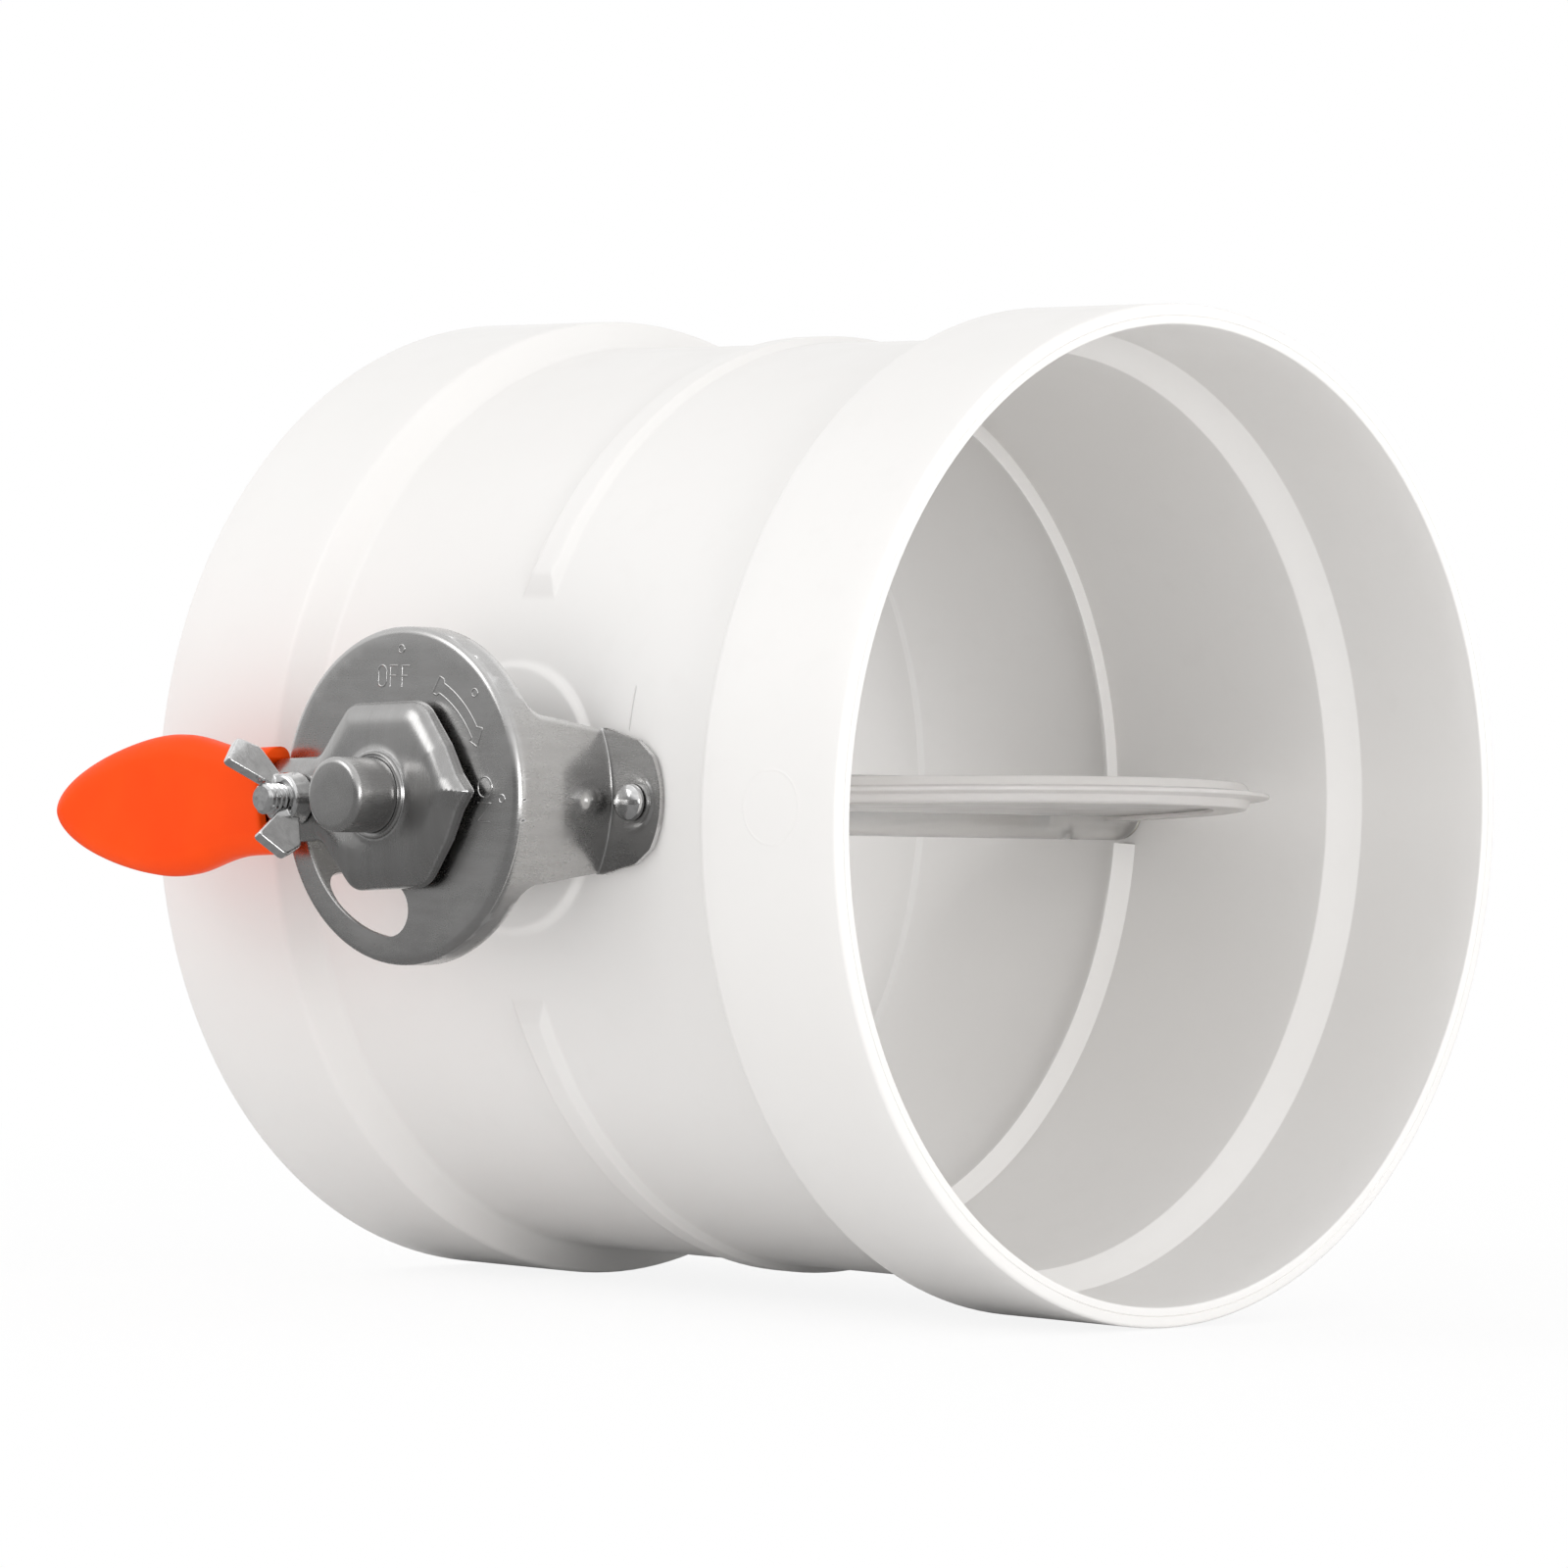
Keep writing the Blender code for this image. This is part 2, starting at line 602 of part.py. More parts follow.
def make_dial_bracket():
    """One pressed sheet: the dial with its turned-down rim, two curved legs and two feet."""
    corner = (DIAL_R - DIAL_EDGE, DIAL_FACE - DIAL_EDGE)
    outer_edge = arc(corner, DIAL_EDGE, 90, 0, 4)
    inner_edge = arc(corner, DIAL_EDGE - SHEET, 0, 90, 2)
    low_end = [(DIAL_R, BORE_R), (LEG_INNER_R, BORE_R)]
    profile = [(0.0, DIAL_FACE)] + outer_edge + low_end + inner_edge + [(0.0, DIAL_BACK)]
    bracket = turned("dial_bracket", profile, FRONT, BRACKET_STEPS)
    reach = OVERSHOOT * (DIAL_R + FOOT_REACH)
    for name, side in (("leg_gap_upper", 1), ("leg_gap_lower", -1)):
        cut(bracket, plate(name, leg_gap_outline(side), -reach, reach, ACROSS_LEGS))
    for name, side in (("left_foot", -1), ("right_foot", 1)):
        foot = ring(name, BORE_R, FOOT_TOP, -reach, reach, ALONG_DUCT, BODY_STEPS)
        keep_inside(foot, plate(name + "_shape", foot_outline(side), BORE_R, DIAL_FACE, FRONT))
        cut(foot, rod(name + "_inner", LEG_INNER_R + SHEET / 2, 0.0, DIAL_FACE, FRONT, BRACKET_STEPS))
        join(bracket, foot)
    duct_space = rod("duct_space", MIDDLE_R + TOUCH, -reach, reach, ALONG_DUCT, BODY_STEPS)
    shaft_hole = rod("dial_hole", BEARING_R, MIDDLE_R, LEVER_FACE, FRONT, SMALL_STEPS)
    slot = plate("slot", slot_outline(), DIAL_BACK - SHEET, DIAL_FACE + SHEET, FRONT)
    cut(bracket, duct_space, shaft_hole, slot)
    for place in foot_screw_places():
        radius = FOOT_SCREW_R + SOCKET_GAP
        cut(bracket, rod("foot_hole", radius, BORE_R, FOOT_TOP + SHEET, FRONT, TINY_STEPS, None, place))
    finish_part(bracket, BRUSHED_STEEL)


def make_foot_screw(name, place):
    """Slotted pan-head screw that holds one foot to the body."""
    seat = FOOT_TOP + TOUCH
    top = seat + FOOT_SCREW_HEAD
    side = top - FOOT_SCREW_CROWN
    end = BORE_R + TOUCH
    dome = [(FOOT_SCREW_HEAD_R * x, side + FOOT_SCREW_CROWN * y) for x, y in arc(CENTRE, 1.0, 60, 0, 2)]
    shank = [(FOOT_SCREW_HEAD_R, seat), (FOOT_SCREW_R, seat), (FOOT_SCREW_R, end), (0.0, end)]
    screw = turned(name, [(0.0, top)] + dome + shank, FRONT, TINY_STEPS, None, place)
    low = top - FOOT_SCREW_SLOT_DEPTH
    width = 3 * FOOT_SCREW_HEAD_R
    slot = block(name + "_slot", width, FOOT_SCREW_SLOT, low, top + TOUCH, FRONT, None, place)
    finish_part(cut(screw, slot), BRIGHT_ZINC)


def make_blade(rotor):
    """Round disc with the hub tube that runs across it, moulded as one piece."""
    half = DISC_THICKNESS / 2
    edge = [(DISC_R - DISC_EDGE, half), (DISC_R, half - DISC_EDGE)]
    far_edge = [(radius, -height) for radius, height in reversed(edge)]
    profile = [(0.0, half)] + edge + far_edge + [(0.0, -half)]
    blade = turned("blade", profile, UPRIGHT, BODY_STEPS, rotor)
    join(blade, rod("hub_tube", HUB_R, -HUB_END, HUB_END, FRONT, SMALL_STEPS, rotor))
    square = DRIVE_SQUARE + 2 * SOCKET_GAP
    drive_low = HUB_END - DRIVE_ENGAGEMENT - TOUCH
    pin_low = HUB_END - PIN_ENGAGEMENT - TOUCH
    drive_socket = block("drive_socket", square, square, drive_low, BORE_R, FRONT, rotor)
    pin_socket = rod("pin_socket", BEARING_R, pin_low, BORE_R, REAR, SMALL_STEPS, rotor)
    cut(blade, drive_socket, pin_socket)
    for place in (HUB_SCREW_PLACE, -HUB_SCREW_PLACE):
        radius = HUB_SCREW_R + SOCKET_GAP
        low = DRIVE_SQUARE / 4
        hole = rod("hub_screw_hole", radius, low, 2 * HUB_R, DOWNWARD, TINY_STEPS, rotor, (0.0, place))
        cut(blade, hole)
    finish_part(blade, CLEAR_PLASTIC)


def make_blade_seal(name, side, rotor):
    """Half of the soft seal: a channel over the disc's edge, with a thin lip outwards."""
    inside = DISC_THICKNESS / 2 + TOUCH
    outside = inside + CHANNEL_LEG
    inner_r = DISC_R - CHANNEL_GRIP
    floor_r = DISC_R + TOUCH
    upper = [
        (inner_r, outside),
        (CHANNEL_R - CHANNEL_SHOULDER, outside),
        (CHANNEL_R, LIP_ROOT_THICKNESS / 2),
        (LIP_R, LIP_TIP_THICKNESS / 2),
    ]
    lower = [(radius, -height) for radius, height in reversed(upper)]
    channel = [(inner_r, -inside), (floor_r, -inside), (floor_r, inside), (inner_r, inside)]
    seal = turned(name, upper + lower + channel, UPRIGHT, BODY_STEPS, rotor)
    width = 2 * LIP_R
    place = (side * (HUB_GAP_HALF - width / 2), 0.0)
    away = block(name + "_away", width, 3 * LIP_R, -HUB_R, HUB_R, UPRIGHT, rotor, place)
    finish_part(cut(seal, away), SEAL_RUBBER)


def make_hub_screw(name, place, depth, rotor):
    """Set screw through the hub's wall, against the shaft or the pin."""
    centre = (0.0, place)
    screw = rod(name, HUB_SCREW_R, depth, HUB_R, DOWNWARD, TINY_STEPS, rotor, centre)
    low = HUB_R - HUB_SCREW_R / 2
    slot = block(name + "_slot", HUB_SCREW_R / 3, 3 * HUB_SCREW_R, low, 2 * HUB_R, DOWNWARD, rotor, centre)
    finish_part(cut(screw, slot), BRIGHT_ZINC)


def make_drive_shaft(rotor):
    """Turned shaft: round head, square in the lever, journal, and a square end in the hub."""
    head_low = LEVER_FACE + TOUCH
    head_top = head_low + SHAFT_HEAD_HEIGHT
    edge = SHAFT_HEAD_EDGE
    groove_r = JOURNAL_R - RING_GROOVE - TOUCH
    groove_high = RING_TOP + TOUCH
    groove_low = RING_TOP - RING_THICKNESS - TOUCH
    journal_end = HUB_END + TOUCH
    corner = arc((SHAFT_HEAD_R - edge, head_top - edge), edge, 90, 0, 4)
    profile = [(0.0, head_top)] + corner + [
        (SHAFT_HEAD_R, head_low),
        (JOURNAL_R, head_low),
        (JOURNAL_R, groove_high),
        (groove_r, groove_high),
        (groove_r, groove_low),
        (JOURNAL_R, groove_low),
        (JOURNAL_R, journal_end),
        (0.0, journal_end),
    ]
    shaft = turned("drive_shaft", profile, FRONT, SMALL_STEPS, rotor)
    square_high = head_low + TOUCH
    square = block("lever_square", LEVER_SQUARE, LEVER_SQUARE, LEVER_BACK, square_high, FRONT, rotor)
    tail_low = HUB_END - DRIVE_ENGAGEMENT
    tail_high = journal_end + TOUCH
    tail = block("shaft_tail", DRIVE_SQUARE, DRIVE_SQUARE, tail_low, tail_high, FRONT, rotor)
    finish_part(join(shaft, square, tail), BRUSHED_STEEL)


def make_pivot_pin(rotor):
    """Headed pin that carries the blade's far side in the rear bushing."""
    head_low = BUSHING_TOP + TOUCH
    head_top = head_low + PIN_HEAD_HEIGHT
    head_r = JOURNAL_R + PIN_HEAD_STEP
    low = HUB_END - PIN_ENGAGEMENT
    head = [(0.0, head_top), (head_r, head_top), (head_r, head_low)]
    shank = [(JOURNAL_R, head_low), (JOURNAL_R, low), (0.0, low)]
    finish_part(turned("rear_pivot_pin", head + shank, REAR, SMALL_STEPS, rotor), BRIGHT_ZINC)


def make_retaining_ring(rotor):
    """Open snap ring in the shaft's groove, behind the dial."""
    inner = JOURNAL_R - RING_GROOVE
    outer = inner + RING_WIDTH
    low = RING_TOP - RING_THICKNESS
    place = (0.0, -outer)
    snap = ring("shaft_retaining_ring", inner, outer, low, RING_TOP, FRONT, SMALL_STEPS, rotor)
    mouth = block("ring_mouth", RING_MOUTH, 2 * outer, low - TOUCH, RING_TOP + TOUCH, FRONT, rotor, place)
    finish_part(cut(snap, mouth), BRUSHED_STEEL)


def make_lever_spacer(rotor):
    """Bearing washer on the shaft between the dial and the lever."""
    outer = BEARING_R + LEVER_SPACER_WALL
    spacer = ring("lever_spacer", BEARING_R, outer, SPACER_LOW, SPACER_TOP, FRONT, SMALL_STEPS, rotor)
    finish_part(spacer, NYLON)


def lever_outline():
    """Hexagon with a pointer at +X, and a neck and a tang for the grip at -X."""
    neck_end = BOLT_PLACE + NECK_LENGTH
    tang_start = neck_end + NECK_HALF - TANG_HALF
    tang_centre = (TANG_HALF - neck_end - TANG_LENGTH, 0.0)
    upper = [
        (POINTER_REACH, 0.0),
        (POINTER_ROOT_X, POINTER_ROOT_HALF),
        (HEX_HALF_SIDE, HEX_HALF_HEIGHT),
        (-HEX_HALF_SIDE, HEX_HALF_HEIGHT),
        (-HEX_CORNER_X, NECK_HALF),
        (-neck_end, NECK_HALF),
        (-tang_start, TANG_HALF),
    ]
    lower = [(x, -y) for x, y in reversed(upper[1:])]
    return upper + arc(tang_centre, TANG_HALF, 90, 270, 6) + lower


def lever_form(name, growth, rotor):
    """The lever's rounded outside, mirrored behind its rim and made larger all round by growth."""
    low = LEVER_RIM - LEVER_DEPTH - growth
    high = LEVER_FACE + growth
    rounding = LEVER_EDGE + growth
    return plate(name, lever_outline(), low, high, FRONT, rotor, CENTRE, rounding, LEVER_EDGE)


def make_lever(rotor):
    """Pressed sheet pan with a raised ring round its square shaft hole."""
    lever = lever_form("lever", 0.0, rotor)
    below = LEVER_RIM - 2 * LEVER_DEPTH
    width = 4 * GRIP_LENGTH
    back_half = block("lever_back_half", width, width, below, LEVER_RIM, FRONT, rotor)
    cut(lever, lever_form("lever_hollow", -LEVER_SHEET, rotor), back_half)
    ring_inner = SHAFT_HEAD_R + SOCKET_GAP
    ring_outer = ring_inner + COLLAR_RING_WALL
    ring_low = LEVER_FACE - LEVER_SHEET / 2
    ring_high = LEVER_FACE + COLLAR_RING_HEIGHT
    join(lever, ring("collar_ring", ring_inner, ring_outer, ring_low, ring_high, FRONT, SMALL_STEPS, rotor))
    hole = LEVER_SQUARE + 2 * SOCKET_GAP
    shaft_hole = block("shaft_hole", hole, hole, LEVER_RIM, ring_high, FRONT, rotor)
    place = (-BOLT_PLACE, 0.0)
    bolt_hole = rod("bolt_hole", BOLT_HOLE_R, LEVER_RIM, ring_high, FRONT, SMALL_STEPS, rotor, place)
    finish_part(cut(lever, shaft_hole, bolt_hole), BRUSHED_STEEL)


def grip_outline():
    """Leaf shape: straight at the lever, swelling to a belly and closing in a round tip."""
    start = -BOLT_PLACE - GRIP_SETBACK
    end_half = NECK_HALF + GRIP_SIDE_WALL
    straight = (start - GRIP_STRAIGHT, end_half)
    belly = (start - GRIP_BELLY, end_half + GRIP_SWELL)
    tip = (start - GRIP_LENGTH, 0.0)
    swell_start = (straight[0] - GRIP_SWELL_HANDLE, straight[1])
    swell_end = (belly[0] + GRIP_SWELL_HANDLE, belly[1])
    belly_handle = (belly[0] - GRIP_BELLY_HANDLE, belly[1])
    tip_handle = (tip[0], GRIP_TIP_HANDLE)
    swell = bezier(straight, swell_start, swell_end, belly, 6)
    closing = bezier(belly, belly_handle, tip_handle, tip, 10)
    upper = [(start + 2 * GRIP_EDGE, end_half)] + swell + closing[1:]
    return upper + [(x, -y) for x, y in reversed(upper[:-1])]


def make_grip(rotor):
    """Soft grip moulded over the tang, open towards the lever and hollowed round the lock bolt."""
    low = LEVER_RIM - TOUCH - GRIP_BACK_WALL
    high = LEVER_FACE + GRIP_FRONT_WALL
    grip = plate("grip", grip_outline(), low, high, FRONT, rotor, CENTRE, GRIP_EDGE, GRIP_EDGE)
    width = 4 * GRIP_LENGTH
    space_low = LEVER_RIM - TOUCH
    space_high = LEVER_FACE + LEVER_DEPTH
    front_half = block("grip_front_half", width, width, space_low, space_high, FRONT, rotor)
    tang_space = keep_inside(lever_form("tang_space", TOUCH, rotor), front_half)
    end_half = NECK_HALF + GRIP_SIDE_WALL
    scoop_r = (end_half ** 2 + GRIP_SCOOP ** 2) / (2 * GRIP_SCOOP)
    scoop_centre = (scoop_r - BOLT_PLACE - GRIP_SETBACK - GRIP_SCOOP, 0.0)
    scoop = rod("grip_scoop", scoop_r, low - TOUCH, high + TOUCH, FRONT, BRACKET_STEPS, rotor, scoop_centre)
    finish_part(cut(grip, scoop, tang_space), ORANGE_VINYL)


def hexagon(across):
    """A hexagon from its width across flats."""
    return arc(CENTRE, across / math.sqrt(3), 0, 300, 5)


def make_lock_bolt(rotor):
    """Hexagon-head bolt that comes up through the slot and the lever."""
    place = (-BOLT_PLACE, 0.0)
    end = NUT_TOP + BOLT_PROUD
    low = BOLT_HEAD_TOP - BOLT_HEAD_HEIGHT
    root = BOLT_HEAD_TOP - BOLT_HEAD_HEIGHT / 2
    tip = [(0.0, end), (BOLT_R - BOLT_CHAMFER, end), (BOLT_R, end - BOLT_CHAMFER)]
    bolt = turned("lock_bolt", tip + [(BOLT_R, root), (0.0, root)], FRONT, SMALL_STEPS, rotor, place)
    head = plate("bolt_head", hexagon(BOLT_HEAD_ACROSS), low, BOLT_HEAD_TOP, FRONT, rotor, place)
    finish_part(join(bolt, head), BRIGHT_ZINC)


def make_lock_bolt_rings(rotor):
    """The bolt's washer behind the dial and its spacer under the lever."""
    place = (-BOLT_PLACE, 0.0)
    washer_r = SLOT_HALF + WASHER_OVERLAP
    washer_top = WASHER_LOW + WASHER_THICKNESS
    spacer_r = NECK_HALF - LEVER_EDGE
    rings = (
        ("lock_bolt_washer", washer_r, WASHER_LOW, washer_top, BRIGHT_ZINC),
        ("lock_bolt_spacer", spacer_r, SPACER_LOW, SPACER_TOP, NYLON),
    )
    for name, outer, low, high, material in rings:
        finish_part(ring(name, BOLT_HOLE_R, outer, low, high, FRONT, SMALL_STEPS, rotor, place), material)


def make_wing_nut(nut_axis):
    """Cast nut with a tapered hub and two upswept wings."""
    hub_r = BOLT_HOLE_R + NUT_WALL
    core_r = BOLT_R
    profile = [(hub_r - NUT_DRAFT, NUT_TOP), (hub_r, NUT_LOW), (core_r, NUT_LOW), (core_r, NUT_TOP)]
    nut = turned("wing_nut", profile, FRONT, SMALL_STEPS, nut_axis)
    outline = [
        (core_r, WING_ROOT_HEIGHT),
        (WING_HOLLOW_REACH, WING_HOLLOW_HEIGHT),
        (WING_ELBOW_REACH, WING_ELBOW_HEIGHT),
        (WING_REACH, WING_REACH_HEIGHT),
        (WING_TIP_REACH, WING_TIP_HEIGHT),
        (core_r, WING_CROTCH_HEIGHT),
    ]
    half = WING_THICKNESS / 2
    levels = [(reach, NUT_LOW + height) for reach, height in outline]
    for name, angle in (("upper_wing", WING_ANGLE), ("lower_wing", WING_ANGLE + 180.0)):
        facing = FRONT @ Matrix.Rotation(math.radians(angle), 3, "Z") @ FRONT
        join(nut, plate(name, levels, -half, half, facing, nut_axis, CENTRE, WING_EDGE, WING_EDGE))
    reach = NUT_LOW + WING_TIP_HEIGHT
    bore = rod("nut_bore", BOLT_HOLE_R, LEVER_RIM, reach, FRONT, SMALL_STEPS, nut_axis)
    finish_part(cut(nut, bore), BRIGHT_ZINC)


def make_fixed_pieces():
    """The body and what is fastened to it."""
    make_duct_body()
    make_bushing("front_bushing", FRONT)
    make_bushing("rear_bushing", REAR)
    make_shaft_seal("front_shaft_seal", FRONT)
    make_shaft_seal("rear_shaft_seal", REAR)
    make_pivot_cap()
    make_dial_bracket()
    for name, place in zip(("left_foot_screw", "right_foot_screw"), foot_screw_places()):
        make_foot_screw(name, place)


def make_moving_pieces():
    """The blade, shaft and lever, turned from fully open to the rest angle, and the wing nut."""
    rotor = add_axis("rotor_axis", (0.0, 0.0, 0.0), -REST_ANGLE)
    make_blade(rotor)
    make_blade_seal("blade_seal_right", 1, rotor)
    make_blade_seal("blade_seal_left", -1, rotor)
    make_hub_screw("front_hub_screw", HUB_SCREW_PLACE, DRIVE_SQUARE / 2 + TOUCH, rotor)
    make_hub_screw("rear_hub_screw", -HUB_SCREW_PLACE, JOURNAL_R + TOUCH, rotor)
    make_drive_shaft(rotor)
    make_pivot_pin(rotor)
    make_retaining_ring(rotor)
    make_lever_spacer(rotor)
    make_lever(rotor)
    make_grip(rotor)
    make_lock_bolt(rotor)
    make_lock_bolt_rings(rotor)
    make_wing_nut(add_axis("wing_nut_axis", (-BOLT_PLACE, 0.0, 0.0), 0.0, rotor))


make_fixed_pieces()
make_moving_pieces()
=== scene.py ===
"""Manual volume control damper: the finished look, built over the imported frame.

Shapes are worked out in millimetres and scaled to metres when a mesh is made. A level is a distance out
along the shaft, so the point (x, z, level) of a piece that faces the front lies at y = -level.
"""
import math

import bmesh
import bpy
import numpy as np
from mathutils import Matrix, Vector
from mathutils.geometry import delaunay_2d_cdt


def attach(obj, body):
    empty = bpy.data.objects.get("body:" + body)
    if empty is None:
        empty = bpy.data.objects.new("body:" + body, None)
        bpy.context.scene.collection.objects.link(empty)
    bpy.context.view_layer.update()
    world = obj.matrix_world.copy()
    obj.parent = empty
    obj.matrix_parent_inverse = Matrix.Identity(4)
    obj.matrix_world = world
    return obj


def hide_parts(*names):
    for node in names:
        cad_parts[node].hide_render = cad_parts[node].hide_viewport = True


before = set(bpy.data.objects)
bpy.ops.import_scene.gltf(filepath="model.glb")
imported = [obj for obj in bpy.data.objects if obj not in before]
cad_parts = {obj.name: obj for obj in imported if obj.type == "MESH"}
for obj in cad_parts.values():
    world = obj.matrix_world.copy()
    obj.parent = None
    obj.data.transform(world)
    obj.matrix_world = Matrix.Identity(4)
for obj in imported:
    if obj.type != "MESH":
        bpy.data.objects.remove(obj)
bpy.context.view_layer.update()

MM = 0.001
REST_ANGLE = math.radians(3.3)

# Duct body
END_X = 96.7
COLLAR_R = 103.0
COLLAR_X = 61.0
SHOULDER_X = 56.0
MIDDLE_R = 97.0
SOCKET_R = 98.8
STOP_X = 64.2
BORE_X = 58.1
BORE_R = 94.3
SEAT_R = 91.0
PAD_R = 27.0
PAD_HEIGHT = 1.2
SPOT_R = 13.3
SPOT_LEVEL = 97.2
RIB_HEIGHT = 1.5

# Dial, screws, lever and shaft: sizes, and levels along the shaft
DIAL_FACE = 125.5
DIAL_R = 33.5
DIAL_EDGE = 1.5
DIAL_CROWN = 0.35
FLANGE_END = 118.5
SHEET = 1.1
FOOT_TOP = 98.4
SCREW_X = 38.0
SCREW_HOLE_R = 2.2
HUB_SCREW_Y = 74.976
SQUARE_HALF = 5.657 / 2
SPACER_LOW = 125.8
SPACER_HIGH = 130.2
LEVER_FACE = 132.0
LEVER_RIM = 127.1
LEVER_SHEET = 1.5
GRIP_TOP = 134.3
GRIP_BACK = 125.8
HEAD_TOP = 143.5
BOLT_X = -22.7
NUT_LOW = 132.3
NUT_TOP = 136.7
BOLT_END = 141.4

# Places: the third axis points out along the shaft, or up through the blade
FRONT = Matrix(((1, 0, 0, 0), (0, 0, -1, 0), (0, 1, 0, 0), (0, 0, 0, 1)))
REAR = Matrix(((-1, 0, 0, 0), (0, 0, 1, 0), (0, 1, 0, 0), (0, 0, 0, 1)))
UPRIGHT = Matrix.Identity(4)
DOWNWARD = Matrix(((1, 0, 0, 0), (0, -1, 0, 0), (0, 0, -1, 0), (0, 0, 0, 1)))
ROTOR = Matrix.Rotation(-REST_ANGLE, 4, "Y")
SHAFT = ROTOR @ FRONT
BOLT = ROTOR @ Matrix.Translation((BOLT_X, 0.0, 0.0)) @ FRONT
FOOT_SCREWS = {
    "left": FRONT @ Matrix.Translation((-SCREW_X, 0.0, 0.0)),
    "right": FRONT @ Matrix.Translation((SCREW_X, 0.0, 0.0)),
}
HUB_SCREWS = {
    "front": ROTOR @ Matrix.Translation((0.0, -HUB_SCREW_Y, 0.0)) @ DOWNWARD,
    "rear": ROTOR @ Matrix.Translation((0.0, HUB_SCREW_Y, 0.0)) @ DOWNWARD,
}


def assign(target, **settings):
    """Set several attributes of one thing."""
    for key, value in settings.items():
        setattr(target, key, value)
    return target


def add_object(name, data):
    """A new object in the scene."""
    obj = bpy.data.objects.new(name, data)
    bpy.context.scene.collection.objects.link(obj)
    return obj


# Materials

class Nodes:
    """A node tree, with short ways to add its nodes."""

    def __init__(self, tree):
        self.tree = tree
        self.coordinates = self.add("TexCoord").outputs
        self.place = self.coordinates["Object"]

    def add(self, kind, inputs=None, **settings):
        node = assign(self.tree.nodes.new("ShaderNode" + kind), **settings)
        for key, value in (inputs or {}).items():
            self.feed(node.inputs[key], value)
        return node

    def feed(self, socket, value):
        if isinstance(value, bpy.types.NodeSocket):
            self.tree.links.new(value, socket)
        elif socket.type == "RGBA":
            socket.default_value = (*value, 1.0)
        else:
            socket.default_value = value

    def span(self, value, low, high, start=0.0, end=1.0):
        """Map low..high to start..end, clamped."""
        inputs = {"Value": value, "From Min": low, "From Max": high, "To Min": start, "To Max": end}
        return self.add("MapRange", inputs).outputs["Result"]

    def maths(self, operation, *values):
        return self.add("Math", dict(enumerate(values)), operation=operation).outputs[0]

    def shades(self, share, first, second):
        """Mix two shaders."""
        return self.add("MixShader", {0: share, 1: first, 2: second}).outputs[0]


class Paint(Nodes):
    """One node material."""

    def __init__(self, name, **values):
        self.material = bpy.data.materials.new(name)
        self.material.use_nodes = True
        super().__init__(self.material.node_tree)
        self.shader = self.tree.nodes["Principled BSDF"]
        for key, value in values.items():
            self.feed(self.shader.inputs[key.replace("_", " ")], value)

    def noise(self, size, detail=3.0, stretch=(1.0, 1.0, 1.0), twist=0.0):
        """Noise with features of about size millimetres."""
        place = self.add("Mapping", {"Vector": self.place, "Scale": stretch}).outputs["Vector"]
        inputs = {"Vector": place, "Scale": 1.0 / (size * MM), "Detail": detail, "Distortion": twist}
        return self.add("TexNoise", inputs).outputs["Fac"]

    def specks(self, spacing, radius, share):
        """Scattered dots: 1 on a dot and 0 elsewhere."""
        voronoi = self.add("TexVoronoi", {"Vector": self.place, "Scale": 1.0 / (spacing * MM)})
        red = self.add("SeparateColor", {"Color": voronoi.outputs["Color"]}).outputs[0]
        chosen = self.maths("LESS_THAN", red, share)
        dot = self.span(voronoi.outputs["Distance"], radius / spacing, 0.5 * radius / spacing)
        return self.maths("MULTIPLY", chosen, dot)

    def edges(self, low, high, share):
        """Up to share on convex edges, found by pointiness, and 0 elsewhere: rubbed wear in most materials,
        a painted sheen in the vinyl.
        """
        pointiness = self.add("NewGeometry").outputs["Pointiness"]
        return self.span(pointiness, low, high, 0.0, share)

    def near(self, value, place, outer, inner=0.0):
        """1 within inner millimetres of a place, fading to 0 at outer."""
        off = self.maths("ABSOLUTE", self.maths("SUBTRACT", value, place * MM))
        return self.span(off, outer * MM, inner * MM)

    def finish(self, colours, roughness, bumps):
        """Set a base colour with (share, colour) laid over it, the roughness, and (height, depth) bumps."""
        base, *layers = colours
        for share, colour in layers:
            base = self.add("Mix", {0: share, 6: base, 7: colour}, data_type="RGBA").outputs[2]
        normal = None
        for height, depth in bumps:
            inputs = {"Height": height, "Distance": depth * MM, "Strength": 1.0}
            if normal is not None:
                inputs["Normal"] = normal
            normal = self.add("Bump", inputs).outputs["Normal"]
        for name, value in (("Base Color", base), ("Roughness", roughness), ("Normal", normal)):
            self.feed(self.shader.inputs[name], value)
        return self.material


def grey(value, warm=0.0):
    return (value * (1.0 + warm), value, value * (1.0 - warm))


def white_plastic(name, marks=False):
    """Smooth moulded white plastic: faint flow, specks, orange peel, and rubbed edges."""
    paint = Paint(name, IOR=1.46)
    flow = paint.noise(70.0, 2.0, (0.5, 1.0, 1.0))
    colours = [
        (0.838, 0.823, 0.806),
        (paint.span(flow, 0.35, 0.65), (0.861, 0.848, 0.833)),
        (paint.span(paint.noise(6.0), 0.55, 0.75, 0.0, 0.35), (0.829, 0.815, 0.798)),
        (paint.edges(0.52, 0.60, 0.5), (0.885, 0.877, 0.866)),
        (paint.specks(21.0, 0.32, 0.45), (0.30, 0.27, 0.24)),
    ]
    rub = paint.noise(14.0, 4.0, (1.0, 1.0, 0.35), 0.6)
    bumps = [(paint.noise(2.6, 2.0), 0.012), (paint.noise(0.35, 2.0), 0.003)]
    if marks:
        bumps += body_marks(paint)
    return paint.finish(colours, paint.span(rub, 0.3, 0.75, 0.30, 0.44), bumps)


